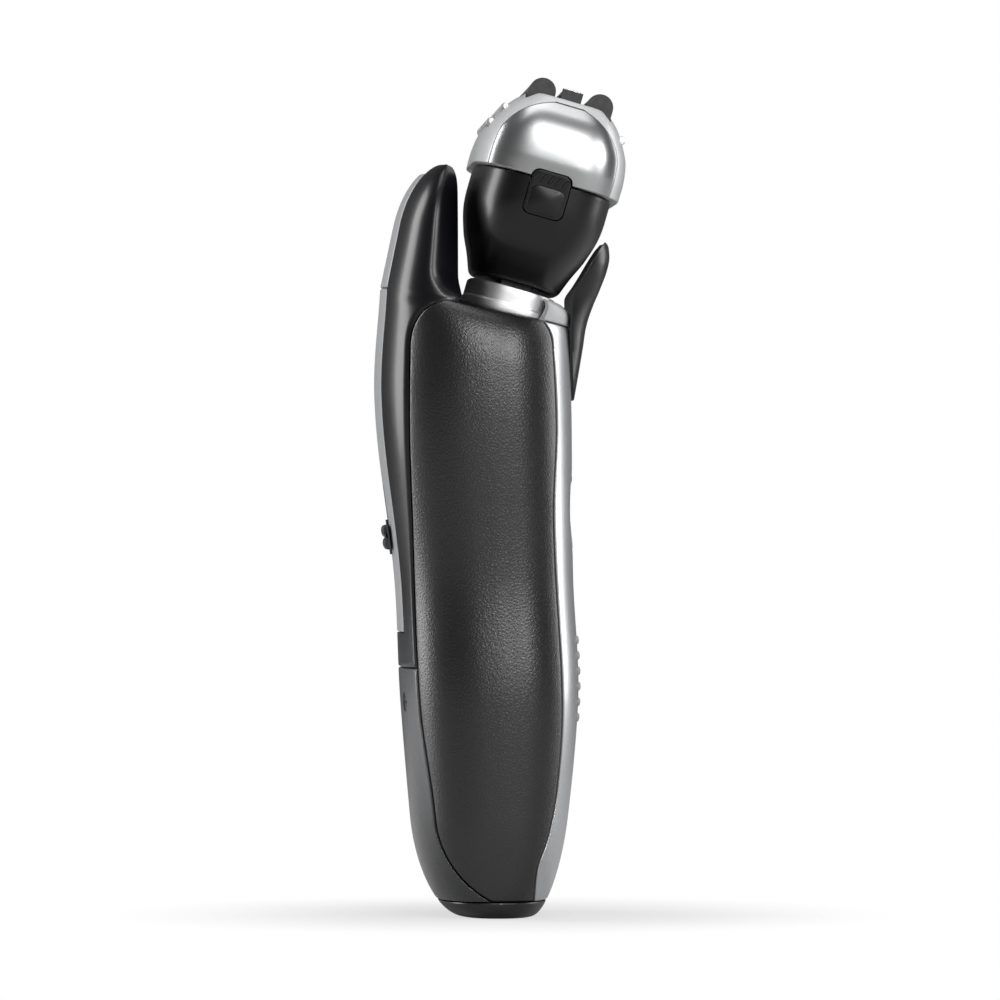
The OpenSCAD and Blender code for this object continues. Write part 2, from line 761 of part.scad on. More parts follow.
bowl_depth_stations = [
    [0, bowl_half_depth - 5], [0.2 * housing_height, bowl_half_depth - 3.5],
    [0.4 * housing_height, bowl_half_depth - 1.7], [0.67 * housing_height, bowl_half_depth - 0.2],
    [housing_height, bowl_half_depth]
];
bowl_width_stations = [
    [0, bowl_half_width - 13.2], [0.2 * housing_height, bowl_half_width - 8.2],
    [0.4 * housing_height, bowl_half_width - 4], [0.67 * housing_height, bowl_half_width - 1],
    [housing_height, bowl_half_width]
];
frame_depth_stations = [
    [frame_bottom, head_depth / 2], [frame_bottom + 4, head_depth / 2], [frame_bottom + 8, head_depth / 2 - 0.7],
    [frame_bottom + 11, head_depth / 2 - 2.2], [frame_bottom + 14, head_depth / 2 - 4.2],
    [frame_top, head_depth / 2 - 6.6]
];
foil_end_room = 3.4;
frame_top_half = foil_length / 2 + foil_end_room;
frame_width_stations = [
    [frame_bottom, head_width / 2 - 0.5], [frame_bottom + 4, head_width / 2],
    [frame_bottom + 9, mix(head_width / 2, frame_top_half, 0.09)],
    [frame_bottom + 13, mix(head_width / 2, frame_top_half, 0.41)], [frame_top, frame_top_half]
];
panel_top = frame_top - 1.1;
panel_arch_height = 9.2;
panel_depth_stations = [
    [frame_bottom, head_depth / 2 - 2.8], [frame_bottom + 4, head_depth / 2 - 2.8],
    [frame_bottom + 9, head_depth / 2 - 3.4], [frame_top, head_depth / 2 - 4.6]
];

// Point on a superellipse section at an angle, with a depth inside it
function section(depth_half, width_half, power, w, angle, inset) = [
    (depth_half - inset) * signed_power(cos(angle), 2 / power),
    (width_half - inset) * signed_power(sin(angle), 2 / power),
    w
];
function bowl_loop(w, inset, columns = 36) = [
    for (k = [0:columns - 1])
        section(along(bowl_depth_stations, w), along(bowl_width_stations, w), bowl_squareness, w,
            360 * k / columns, inset)
];
function frame_point(w, angle, inset) =
    section(along(frame_depth_stations, w), along(frame_width_stations, w), frame_squareness, w, angle, inset);

// Angle from the front where the foil frame's section has a given distance to the front
function frame_angle(w, x) = acos((x / along(frame_depth_stations, w)) ^ (frame_squareness / 2));
function panel_half_depth(w) =
    along(panel_depth_stations, w) * (1 - rounding(panel_top + 0.25 - w, panel_arch_height));
function panel_edge(w, gap) = frame_angle(w, panel_half_depth(w) + gap);

// ---- head housing ----

release_centre_x = 0.5;
release_centre = housing_height - 2.6;
release_lean = 8;
release_corner = 1.6;
release_gap = 0.2;
release_travel = 1.2;
release_proud = 0.5;
release_face = bowl_half_width - 0.3;

fork_gap_forward = 5.4;
chassis_side_inner = head_width / 2 - 14.6;
chassis_side_outer = chassis_side_inner + 4;
fork_arm_inner = chassis_side_inner - 5.2;
fork_arm_wall = 2.8;
fork_arm_half = 3;
fork_slot_gap = 0.5;
fork_arm_middle = fork_arm_inner + fork_arm_wall / 2;

// Upright block in the head's frame about one arm of the neck's fork, wider than the arm by a gap
module arm_block(side, half, gap, bottom, height) {
    wall = fork_arm_wall + 2 * gap;
    translate([-half, side * fork_arm_middle - wall / 2, bottom]) cube([2 * half, wall, height]);
}

// Places children with +Z pointing out of the head at a release button, +Y up the head
module on_release(side) {
    translate([release_centre_x, side * release_face, release_centre])
        mirror([0, side < 0 ? 1 : 0, 0]) rotate([-90 - release_lean, 0, 0]) mirror([0, 1, 0]) children();
}

module release_opening(gap) {
    translate([0, 0, -6]) linear_extrude(12) rounded_rect(release_width + 2 * gap, release_height + 2 * gap, release_corner);
}

module head_housing() {
    color("#16171a")
    head_frame() difference() {
        cup(
            [for (w = bowl_rows) bowl_loop(w, w < 0.3 ? 1 : w < 1 ? 0.3 : 0)],
            [for (w = concat([bowl_wall], steps(0.2 * housing_height, housing_height, 5))) bowl_loop(w, bowl_wall)]
        );
        for (side = [-1, 1]) {
            on_release(side) release_opening(release_gap);
            arm_block(side, fork_gap_forward, fork_slot_gap, -1, bowl_wall + 2);
        }
    }
}
bowl_rows = concat([0, 0.5, 1.4], steps(0.2 * housing_height, housing_height, 7));

// ---- release buttons ----

module release_button(side) {
    color("#202125")
    head_frame() on_release(side) {
        translate([0, 0, -bowl_wall]) linear_extrude(bowl_wall + release_proud - 0.3)
            rounded_rect(release_width, release_height, release_corner);
        translate([0, -1.3, release_proud - 0.4])
            intersection() {
                linear_extrude(1.1) rounded_rect(release_width - 1, release_height - 3.6, release_corner);
                translate([0, 0, 0.9 - 22]) sphere(r = 22, $fn = 96);
            }
        for (i = [-2:2])
            translate([i * 1.5, release_height / 2 - 1.5, release_proud - 0.35])
                rotate([0, 0, -30]) cube([0.6, 1.8, 0.7], center = true);
        translate([0, -0.6, -bowl_wall - 1.8]) linear_extrude(1.8 + eps)
            rounded_rect(release_width - 2, release_height - 3, release_corner);
    }
}
module release_button_left() { release_button(1); }
module release_button_right() { release_button(-1); }

// ---- foil frame and end panels ----

panel_rows = concat(
    [for (w = [0, 4, 6.5, 8.5, 10.2, 11.6, 12.8, 13.7, 14.4, 14.9]) frame_bottom + w], [panel_top]
);
frame_rows = concat(panel_rows, [panel_top + 0.08, panel_top + 0.14, frame_top]);
panel_columns = 8;
face_columns = 5;
end_recess = end_panel_wall + 0.12;

// Angles round the foil frame with their depths: recessed behind the end panels
function frame_profile(w, deep) =
    let(edge = panel_edge(min(w, panel_top), seam / 2))
    concat(
        [for (t = steps(-edge + 1.2, edge - 1.2, 2 * face_columns)) [t, 0]],
        [for (t = steps(edge, 180 - edge, panel_columns)) [t, deep]],
        [for (t = steps(180 - edge + 1.2, 180 + edge - 1.2, 2 * face_columns)) [t, 0]],
        [for (t = steps(180 + edge, 360 - edge, panel_columns)) [t, deep]]
    );
function frame_loop(w, deep, inset) = [for (p = frame_profile(w, deep)) frame_point(w, p[0], p[1] + inset)];

foil_window_depth = foil_spacing + 2 * foil_radius + 0.6;
foil_window_width = foil_length + 3.4;

module foil_frame() {
    color("#b4b7b9")
    head_frame() difference() {
        cup(
            [for (w = reversed(frame_rows)) reversed(frame_loop(w, w > panel_top + 0.1 ? 0 : end_recess, 0))],
            [for (w = [frame_top - frame_wall, frame_top - 3.4, frame_bottom + 10, frame_bottom + 6, frame_bottom])
                reversed(frame_loop(w, 0, frame_wall + (w > frame_bottom + 6 ? 0.5 : end_recess * 0.7)))]
        );
        translate([-foil_window_depth / 2, -foil_window_width / 2, frame_top - 3])
            cube([foil_window_depth, foil_window_width, 6]);
        translate([-foil_window_depth / 2 - 0.5, -foil_window_width / 2, frame_top - 9.5])
            cube([foil_window_depth + 1, foil_window_width, 6.6]);
        for (place = roller_places)
            translate([place[0], 0, place[1]]) rotate([90, 0, 0]) {
                cylinder(r = roller_radius + roller_gap, h = roller_length + 2 * roller_gap, center = true, $fn = 48);
                cylinder(r = roller_axle + 0.05, h = roller_length + 2.4, center = true, $fn = 32);
            }
        for (side = [-1, 1]) on_release(side) release_opening(release_gap);
    }
}

module end_panel(side) {
    color("#cfd1d2")
    head_frame() mirror([0, side < 0 ? 1 : 0, 0]) difference() {
        band([for (w = panel_rows)
            let(edge = panel_edge(w, -seam / 2))
            concat(
                [for (t = steps(edge, 180 - edge, 12)) frame_point(w, t, -0.25)],
                [for (t = steps(180 - edge, edge, 12)) frame_point(w, t, end_panel_wall)]
            )]);
        on_release(1) release_opening(release_gap);
    }
}
module end_panel_left() { end_panel(1); }
module end_panel_right() { end_panel(-1); }

roller_gap = 0.22;
roller_axle = 0.4;
roller_length = foil_length - 8;
roller_sink = 0.35;
roller_rows = [12, 8.4];

// Places of the rollers beside the head's middle: two at the back, one at the front
roller_places = [
    [-along(frame_depth_stations, frame_bottom + roller_rows[0]) + roller_sink, frame_bottom + roller_rows[0]],
    [-along(frame_depth_stations, frame_bottom + roller_rows[1]) + roller_sink, frame_bottom + roller_rows[1]],
    [along(frame_depth_stations, frame_bottom + roller_rows[0]) - roller_sink, frame_bottom + roller_rows[0]]
];

module roller(i) {
    color("#c9cccd")
    head_frame() translate([roller_places[i][0], 0, roller_places[i][1]]) rotate([90, 0, 0]) {
        cylinder(r = roller_radius, h = roller_length, center = true, $fn = 48);
        cylinder(r = roller_axle, h = roller_length + 2, center = true, $fn = 32);
    }
}
module rear_roller_upper() { roller(0); }
module rear_roller_lower() { roller(1); }
module front_roller() { roller(2); }
// ---- neck ----

collar_half_depth = 9;
collar_half_width = fork_arm_inner + 5;
collar_wall = 1.3;
collar_squareness = 3.2;
collar_top = -0.9;
collar_height = 5.2;
collar_flare = 0.4;
boot_wall = 1.2;
boot_drop = 2;

function collar_loop(w, flare, inset, columns = 36) = [
    for (k = [0:columns - 1])
        section(collar_half_depth + flare, collar_half_width + 0.4 * flare, collar_squareness, w,
            360 * k / columns, inset)
];

module neck_collar() {
    color("#d9dadb")
    head_frame() tube(
        [for (row = [[collar_top - collar_height, 1], [collar_top - 0.7 * collar_height, 1],
            [collar_top - 0.62 * collar_height, 0], [collar_top - 0.4, 0], [collar_top, -0.5]])
            collar_loop(row[0], row[1] * collar_flare, 0)],
        [for (row = [[collar_top - collar_height, 0], [collar_top - 0.7 * collar_height, 0],
            [collar_top - 0.62 * collar_height, 0], [collar_top - 0.4, 0], [collar_top, 0]])
            collar_loop(row[0], 0, collar_wall)]
    );
}

module neck_boot() {
    color("#1e1f21")
    head_frame() difference() {
        loft([for (w = [collar_top - boot_drop - boot_wall, collar_top - boot_drop])
            collar_loop(w, 0, collar_wall + 0.06, 28)]);
        for (side = [-1, 1])
            arm_block(side, fork_arm_half + 0.1, 0.1, collar_top - 10, 20);
    }
}

trim_wall = 1.4;
trim_rows = 5;

// Point on the collar's front at a share of the trim's width, in the part's own frame
function neck_point(x, y, w) =
    let(
        turn = head_lean - neck_lean,
        along_x = neck_forward + x * cos(turn) + w * sin(turn),
        up = neck_rise - x * sin(turn) + w * cos(turn)
    )
    [
        neck_centre_x + along_x * cos(neck_lean) + up * sin(neck_lean),
        y,
        handle_height - along_x * sin(neck_lean) + up * cos(neck_lean)
    ];
function collar_point(angle, w, out) =
    let(p = section(collar_half_depth, collar_half_width, collar_squareness, w, angle, -out))
    neck_point(p[0], p[1], w);

module neck_trim() {
    low_edge = shell_front_angle(front_shell_top);
    high_edge = 62;
    low = front_shell_top + seam;
    color("#aeb1b3")
    band([for (i = [0:trim_rows])
        let(u = i / trim_rows, bulge = 0.8 * sin(180 * u), out = [bulge, 0, bulge / 2])
        concat(
            [for (k = steps(-1, 1, 16))
                mix(skin(low, k * low_edge, 0), collar_point(k * high_edge, collar_top - 0.4, 1.2), u) + out],
            [for (k = steps(1, -1, 16))
                mix(skin(low, k * low_edge, trim_wall),
                    collar_point(k * high_edge, collar_top - 0.5, collar_flare + 0.1), u) + out]
        )]);
}

// ---- front guard ----

// Rows of the front guard: height from the grips' top, inner and outer face from the shoulder's
// front, half width
guard_fin = [
    [-18.6, 0.3, 0.5, 5], [-14, 0.3, 1.3, 8], [-8, 0.3, 2.3, 10.4], [-4.6, 0.35, 2.8, 11.6], [-2.2, 0.4, 3.4, 12.2],
    [0.8, 0.4, 4.5, 12.6], [2.4, 0.6, 5.2, 12.8], [4.6, 2.1, 6.1, 12.9], [7, 3.6, 7, 12.9], [9.6, 5, 7.6, 12.4],
    [11.8, 6.1, 7.5, 11], [13, 6.7, 7.2, 8.6]
];
fin_columns = 10;

function fin_drop(y) =
    half_depth(shoulder_height) * (1 - (1 - abs(y / half_width(shoulder_height)) ^ squareness) ^ (1 / squareness));

module front_guard() {
    color("#1a1b1d")
    band([for (row = guard_fin)
        let(z = handle_height + row[0])
        concat(
            [for (k = steps(-1, 1, fin_columns))
                [shoulder_front + mix(row[2], row[1] + 0.1, abs(k) ^ 4) - fin_drop(k * row[3]), k * row[3], z]],
            [for (k = steps(1, -1, fin_columns))
                [shoulder_front + row[1] - fin_drop(k * row[3]), k * row[3], z]]
        )]);
}

// ---- neck fork and tilt pins ----

deck_thickness = 1.5;
deck_bottom = housing_top + 0.1;
fork_base_bottom = -(handle_height - deck_bottom - deck_thickness) + 0.08;
fork_base_thickness = 2;
fork_foot = fork_base_bottom - neck_rise + 0.9;
fork_boss = 3.6;
pin_inner = fork_arm_inner - 0.5;
pin_outer = chassis_side_outer + 0.2;
bush_outer = 2.6;
bush_gap = 0.05;
wire_hole = 3;

module neck_deck() {
    color("#34363a")
    difference() {
        loft([for (h = [deck_bottom, deck_bottom + deck_thickness]) skin_loop(h, skin_depth + 0.4, 28)]);
        guard_frame() translate([neck_forward, 0, -10]) cylinder(r = wire_hole, h = 20, $fn = 48);
    }
}

module neck_fork() {
    color("#26282b")
    difference() {
        union() {
            guard_frame()
                for (size = [[12, 2 * fork_arm_inner - 6], [6, 2 * (fork_arm_inner + fork_arm_wall)]])
                    translate([neck_forward - size[0] / 2, -size[1] / 2, fork_base_bottom])
                        cube([size[0], size[1], fork_base_thickness]);
            head_frame() for (side = [-1, 1]) {
                arm_block(side, fork_arm_half, 0, fork_foot, pivot_height - fork_foot);
                translate([0, side * fork_arm_middle, pivot_height]) rotate([90, 0, 0])
                    cylinder(r = fork_boss, h = fork_arm_wall, center = true, $fn = 64);
            }
        }
        guard_frame() translate([neck_forward, 0, -10]) cylinder(r = wire_hole, h = 20, $fn = 48);
        head_frame() translate([0, 0, pivot_height]) rotate([90, 0, 0])
            cylinder(r = tilt_pin_radius, h = 60, center = true, $fn = 64);
    }
}

// Ring or pin along the tilt axis, on both sides of the head
module on_tilt_axis() {
    head_frame() for (side = [-1, 1])
        translate([0, 0, pivot_height]) rotate([-90 * side, 0, 0]) children();
}

module tilt_pins() {
    color("#9fa3a6")
    on_tilt_axis() translate([0, 0, pin_inner]) cylinder(r = tilt_pin_radius, h = pin_outer - pin_inner, $fn = 64);
}

module tilt_bushes() {
    color("#b08d57")
    on_tilt_axis() difference() {
        translate([0, 0, chassis_side_inner]) cylinder(r = bush_outer, h = chassis_side_outer - chassis_side_inner, $fn = 64);
        cylinder(r = tilt_pin_radius + bush_gap, h = 40, $fn = 64);
    }
}

// ---- head chassis and motor ----

chassis_floor = 2.4;
chassis_floor_wall = 1.4;
motor_half_width = fork_arm_inner - 1;
motor_half_depth = 7.6;
motor_height = 8.6;
motor_bottom = chassis_floor + chassis_floor_wall;
armature_gap = 0.5;
armature_height = 2.2;
armature_half_width = motor_half_width - 2;
armature_bottom = motor_bottom + motor_height + armature_gap;
drive_pin_radius = 0.9;
drive_pin_height = 15;
deck_bottom_w = 18.4;
head_deck_wall = 1.5;
drive_tab_half = 0.8;
slot_half_width = blade_swing + drive_pin_radius + 0.4;

module head_chassis() {
    color("#3a3d42")
    head_frame() difference() {
        union() {
            loft([for (w = [chassis_floor, motor_bottom]) bowl_loop(w, bowl_wall + 0.7, 28)]);
            for (side = [-1, 1]) {
                translate([-4, side > 0 ? chassis_side_inner : -chassis_side_inner - 1.9, motor_bottom - 0.3])
                    cube([8, 1.9, 7]);
                translate([-5, side > 0 ? chassis_side_inner : -chassis_side_outer, motor_bottom + 5])
                    cube([10, chassis_side_outer - chassis_side_inner, deck_bottom_w - motor_bottom - 5.1]);
            }
        }
        for (side = [-1, 1])
            arm_block(side, fork_gap_forward, fork_slot_gap, 0, 8.6);
        translate([0, 0, pivot_height]) rotate([90, 0, 0]) cylinder(r = bush_outer, h = 60, center = true, $fn = 64);
    }
}

pole_pitch = motor_half_width - 4;
pole_half_depth = 5.4;
pole_half_width = 0.2 * pole_pitch;
coil_wall = 0.16 * pole_pitch;
stator_base = 2;

module motor_stator() {
    color("#7a7d80")
    head_frame() translate([0, 0, motor_bottom]) {
        translate([-motor_half_depth, -motor_half_width, 0]) cube([2 * motor_half_depth, 2 * motor_half_width, stator_base]);
        for (i = [-1:1])
            translate([-pole_half_depth, i * pole_pitch - pole_half_width, 0])
                cube([2 * pole_half_depth, 2 * pole_half_width, motor_height]);
    }
}

module motor_coils() {
    color("#b5713a")
    head_frame() for (i = [-1:1])
        translate([0, i * pole_pitch, motor_bottom + stator_base + 0.1]) linear_extrude(motor_height - stator_base - 0.6)
            difference() {
                rounded_rect(2 * (pole_half_depth + coil_wall + 0.05), 2 * (pole_half_width + coil_wall + 0.05), 1.2);
                square([2 * pole_half_depth + 0.1, 2 * pole_half_width + 0.1], center = true);
            }
}

module armature(side) {
    color("#8b8f92")
    head_frame() {
        translate([side > 0 ? 0.5 : -0.5 - motor_half_depth, -armature_half_width, armature_bottom])
            cube([motor_half_depth, 2 * armature_half_width, armature_height]);
        translate([side * foil_spacing / 2, 0, armature_bottom])
            cylinder(r = drive_pin_radius, h = drive_pin_height, $fn = 48);
        if (side > 0)
            translate([0.6, -drive_tab_half, armature_bottom]) cube([1.2, 2 * drive_tab_half, drive_pin_height]);
    }
}
module armature_rear() { armature(-1); }
module armature_front() { armature(1); }

module head_deck() {
    color("#2c2e32")
    head_frame() difference() {
        loft([for (w = [deck_bottom_w, deck_bottom_w + head_deck_wall]) bowl_loop(w, bowl_wall + 0.5, 28)]);
        for (side = [-1, 1]) {
            translate([side * foil_spacing / 2, 0, deck_bottom_w + 1]) {
                translate([-drive_pin_radius - 0.4, -slot_half_width, -4])
                    cube([2 * drive_pin_radius + 0.8, 2 * slot_half_width, 8]);
            }
            translate([0.2, -slot_half_width, deck_bottom_w - 3]) cube([2, 2 * slot_half_width, 8]);
            translate([-release_width / 2 - 1, side * (bowl_half_width - 8.5) - (side > 0 ? 0 : 10), deck_bottom_w - 2])
                cube([release_width + 3, 10, 8]);
        }
    }
}
// ---- foils, their holders and the blades under them ----

foil_centre = frame_top + 0.5;
foil_leg = 5.4;
rail_wall = 0.5;
rail_top = -4.4;
rail_bottom = -8.2;
holder_end = 1.3;
blade_gap = 0.1;
blade_radius = foil_radius - foil_wall - blade_gap;
blade_length = foil_length - 2 * blade_swing - 1.4;
blade_slot = 0.8;
blade_pitch = 1.7;
blade_body_half = 1.9;
blade_drop = 7.6;
blade_wall = 0.6;
blade_base_bottom = armature_bottom + drive_pin_height - 3.6;
blade_base_height = 6;
blade_base_half = 6;

// Extrudes a profile, drawn across the head and up it, along the foils
module along_foils(length) {
    rotate([90, 0, 0]) linear_extrude(length, center = true) children();
}
module at_foil(side) {
    head_frame() translate([side * foil_spacing / 2, 0, foil_centre]) children();
}

module foil(side) {
    color("#4a4d50")
    at_foil(side) along_foils(foil_length) difference() {
        union() {
            circle(r = foil_radius, $fn = 96);
            translate([-foil_radius, -foil_leg]) square([2 * foil_radius, foil_leg]);
        }
        circle(r = foil_radius - foil_wall, $fn = 96);
        translate([-foil_radius + foil_wall, -foil_leg - 1]) square([2 * (foil_radius - foil_wall), foil_leg + 1]);
    }
}
module rear_foil() { foil(-1); }
module front_foil() { foil(1); }

module foil_holder(side) {
    outer = foil_radius + 0.05 + rail_wall;
    color("#1b1c1e")
    at_foil(side) {
        for (x = [-1, 1])
            translate([x > 0 ? foil_radius + 0.05 : -outer, 0, 0])
                along_foils(foil_length + 0.1 + 2 * holder_end)
                    translate([0, rail_bottom]) square([rail_wall, rail_top - rail_bottom]);
        for (y = [-1, 1])
            translate([0, y * (foil_length / 2 + 0.05 + holder_end / 2), 0]) along_foils(holder_end) {
                circle(r = foil_radius + 0.05, $fn = 96);
                translate([-foil_radius - 0.05, rail_top]) square([2 * foil_radius + 0.1, -rail_top]);
                translate([-outer, rail_bottom]) square([2 * outer, rail_top - rail_bottom]);
            }
    }
}
module rear_foil_holder() { foil_holder(-1); }
module front_foil_holder() { foil_holder(1); }

module blade(side) {
    slots = floor(blade_length / blade_pitch) - 1;
    color("#a9adb0")
    at_foil(side) difference() {
        union() {
            along_foils(blade_length) difference() {
                union() {
                    circle(r = blade_radius, $fn = 64);
                    translate([-blade_body_half, -blade_drop]) square([2 * blade_body_half, blade_drop]);
                }
                translate([blade_wall - blade_body_half, -blade_drop - 1])
                    square([2 * (blade_body_half - blade_wall), blade_drop - 0.5]);
            }
            translate([-blade_body_half, -blade_base_half, blade_base_bottom - foil_centre])
                cube([2 * blade_body_half, 2 * blade_base_half, blade_base_height]);
        }
        for (i = [0:slots - 1])
            translate([-4, (i - (slots - 1) / 2) * blade_pitch - blade_slot / 2, -0.9]) cube([8, blade_slot, 6]);
        translate([0, 0, blade_base_bottom - foil_centre - 1])
            cylinder(r = drive_pin_radius + 0.06, h = 3.6 + float_travel + 1.6, $fn = 48);
    }
}
module rear_blade() { blade(-1); }
module front_blade() { blade(1); }

// ---- centre trimmer between the foils ----

centre_half = 2.1;
centre_length = foil_length - 2;
centre_top = foil_centre + 0.5;
centre_bottom = foil_centre - 8.2;
centre_wall = 0.7;
comb_height = 1.5;
comb_pitch = 1.6;
comb_slot = 0.8;
cutter_half = 1.2;

module centre_holder() {
    color("#1b1c1e")
    head_frame() {
        for (x = [-1, 1])
            translate([x > 0 ? centre_half - centre_wall : -centre_half, -centre_length / 2, centre_bottom])
                cube([centre_wall, centre_length, centre_top - centre_bottom - 0.02]);
        for (y = [-1, 1])
            translate([-centre_half, y > 0 ? centre_length / 2 : -centre_length / 2 - 1.3, centre_bottom])
                cube([2 * centre_half, 1.3, centre_top + comb_height - 0.3 - centre_bottom]);
    }
}

module centre_comb() {
    slots = floor(centre_length / comb_pitch) - 1;
    color("#8d9194")
    head_frame() translate([0, 0, centre_top]) difference() {
        along_foils(centre_length - 0.1)
            polygon([[-centre_half, 0], [centre_half, 0], [centre_half - 0.3, comb_height - 0.3],
                [centre_half - 0.7, comb_height], [-centre_half + 0.7, comb_height], [-centre_half + 0.3, comb_height - 0.3]]);
        for (i = [0:slots - 1], x = [-1, 1])
            translate([x > 0 ? 0.4 : -3.4, (i - (slots - 1) / 2) * comb_pitch - comb_slot / 2, 0.4])
                cube([3, comb_slot, 3]);
    }
}

module centre_cutter() {
    teeth = floor((centre_length - 3) / comb_pitch) - 1;
    color("#9ba0a3")
    head_frame() difference() {
        union() {
            translate([-cutter_half, -(centre_length - 2 * blade_swing - 2) / 2, centre_top - 1])
                cube([2 * cutter_half, centre_length - 2 * blade_swing - 2, 0.9]);
            translate([-1, -3, blade_base_bottom]) cube([2, 6, centre_top - blade_base_bottom - 0.5]);
        }
        translate([0.5, -drive_tab_half - 0.06, blade_base_bottom - 1])
            cube([2, 2 * drive_tab_half + 0.12, 3.6 + float_travel + 1.6]);
    }
}

// ---- float springs and release springs ----

spring_strip = 0.3;
float_spring_top = foil_centre + rail_bottom - 0.05;

module float_springs() {
    low = deck_bottom_w + head_deck_wall + 0.02;
    folds = 4;
    rise = (float_spring_top - low - 2 * spring_strip) / folds;
    color("#a7abae")
    head_frame() for (x = [-1, 1], y = [-1, 1])
        translate([x * foil_spacing / 2 - 1.5, y * (foil_length / 2 - 7), low])
            rotate([90, 0, 90]) linear_extrude(3) for (i = [0:folds - 1]) {
                from = i % 2 == 0 ? -2.6 : 2.6;
                polygon([
                    [from, i * rise], [-from, (i + 1) * rise],
                    [-from, (i + 1) * rise + 2 * spring_strip], [from, i * rise + 2 * spring_strip]
                ]);
            }
}

module release_springs() {
    color("#a7abae")
    head_frame() for (side = [-1, 1]) on_release(side)
        translate([0, -0.6, -bowl_wall - 1.8 - release_travel - 0.1 - spring_strip])
            linear_extrude(spring_strip) rounded_rect(release_width - 4, release_height - 5, 0.8);
}

// ---- pop-up trimmer in the guard ----

carriage_wall = 1.3;
carriage_rib = 10;
trimmer_low = trimmer_bottom - handle_height + 0.3;
trimmer_blade_low = trimmer_low + 8.6;
trimmer_tip = cover_top - handle_height + 0.4;
trimmer_plate = 0.6;
trimmer_teeth_pitch = 1.5;
trimmer_teeth_depth = 2.2;
trimmer_swing = 0.7;

module trimmer_carriage() {
    color("#1f2023")
    guard_frame() {
        translate([cover_inner_x + 1.4, -trimmer_width / 2, trimmer_low])
            cube([trimmer_x + trimmer_depth - cover_inner_x - 1.4, trimmer_width, trimmer_blade_low - trimmer_low]);
        translate([cover_inner_x + 0.3, -carriage_rib / 2, trimmer_low])
            cube([2, carriage_rib, trimmer_blade_low - trimmer_low]);
        translate([trimmer_x + trimmer_depth - carriage_wall, -trimmer_width / 2, trimmer_blade_low - eps])
            cube([carriage_wall, trimmer_width, trimmer_tip - trimmer_blade_low - 2.2 - trimmer_teeth_depth]);
    }
}

module toothed_plate(width, height, plate, slot) {
    slots = floor((width - 1) / trimmer_teeth_pitch);
    difference() {
        translate([0, -width / 2, 0]) cube([plate, width, height]);
        for (i = [0:slots - 1])
            translate([-1, (i - (slots - 1) / 2) * trimmer_teeth_pitch - slot / 2, height - trimmer_teeth_depth])
                cube([plate + 2, slot, trimmer_teeth_depth + 1]);
    }
}

module trimmer_comb() {
    color("#b3b7b9")
    guard_frame() translate([trimmer_x + 0.15, 0, trimmer_blade_low + 0.02])
        toothed_plate(trimmer_width - 1, trimmer_tip - trimmer_blade_low, trimmer_plate, 0.7);
}

module trimmer_blade() {
    color("#9ca1a4")
    guard_frame() translate([trimmer_x + 0.15 + trimmer_plate + 0.08, 0, trimmer_blade_low + 0.1])
        toothed_plate(trimmer_width - 2 * trimmer_swing - 1.4, trimmer_tip - trimmer_blade_low - 0.5, trimmer_plate, 0.8);
}

module trimmer_switch() {
    lobe = switch_length / 2;
    stem_half = slot_half_length - 0.5;
    color("#3b3e41")
    on_switch() {
        for (x = [-1, 1])
            translate([x * lobe / 2, 0, 0.3]) rotate([90, 0, 0]) intersection() {
                cylinder(r = lobe / 2 + 0.1, h = switch_width, center = true, $fn = 48);
                translate([-4, 0, -20]) cube([8, switch_reach, 40]);
            }
        translate([-lobe, -switch_width / 2, 0.3]) cube([switch_length, switch_width, 0.5]);
        translate([-stem_half, -slot_width / 2 + 0.2, -skin_depth - 1.4]) cube([2 * stem_half, slot_width - 0.4, skin_depth + 1.8]);
        translate([-stem_half, -flange_half_width, -skin_depth - 1.4]) cube([2 * stem_half, 2 * flange_half_width, 1.2]);
    }
}
// ---- inside the handle ----

cell_radius = 7.1;
cell_length = 49;
cell_bottom = 10;
cell_x = -4.6;
cell_cap = 1.2;
board_x = 4.9;
board_wall = 1.2;
board_half_width = 12.5;
board_bottom = 12;
board_top = 104;
plate_wall = 1.3;
plate_x = board_x - plate_wall - 0.2;
plate_half_width = 14.5;
plate_bottom = 8;
cradle_height = 4;
cradle_half = 9.4;
switch_body = 6;

module chassis() {
    color("#44474c")
    difference() {
        union() {
            translate([plate_x, -plate_half_width, plate_bottom])
                cube([plate_wall, 2 * plate_half_width, board_top - plate_bottom]);
            for (z = [cell_bottom + 5, cell_bottom + cell_length - 5 - cradle_height])
                translate([cell_x - 2, -cradle_half, z]) cube([plate_x - cell_x + 2 + eps, 2 * cradle_half, cradle_height]);
            for (z = [cell_bottom - cell_cap - 1.3, cell_bottom + cell_length + cell_cap + 0.1])
                translate([cell_x - 6, -6, z]) cube([plate_x - cell_x + 6 + eps, 12, 1.2]);
        }
        translate([cell_x, 0, cell_bottom - 0.1]) cylinder(r = cell_radius + 0.15, h = cell_length + 0.2, $fn = 96);
    }
}

module battery_cell() {
    color("#3f6f8f")
    translate([cell_x, 0, cell_bottom]) {
        cylinder(r = cell_radius, h = cell_length - 0.8, $fn = 96);
        cylinder(r = 2.6, h = cell_length, $fn = 48);
    }
}

module cell_contacts() {
    color("#b9bcbf")
    for (z = [cell_bottom - cell_cap + 0.05, cell_bottom + cell_length + 0.05])
        translate([cell_x, 0, z]) cylinder(r = 3.6, h = cell_cap - 0.1, $fn = 48);
}

module circuit_board() {
    color("#2f5d3a")
    difference() {
        translate([board_x, -board_half_width, board_bottom]) cube([board_wall, 2 * board_half_width, board_top - board_bottom]);
        for (z = [board_bottom + 4, board_top - 4])
            translate([board_x - 1, 0, z]) rotate([0, 90, 0]) cylinder(r = 1.1, h = board_wall + 2, $fn = 32);
    }
}

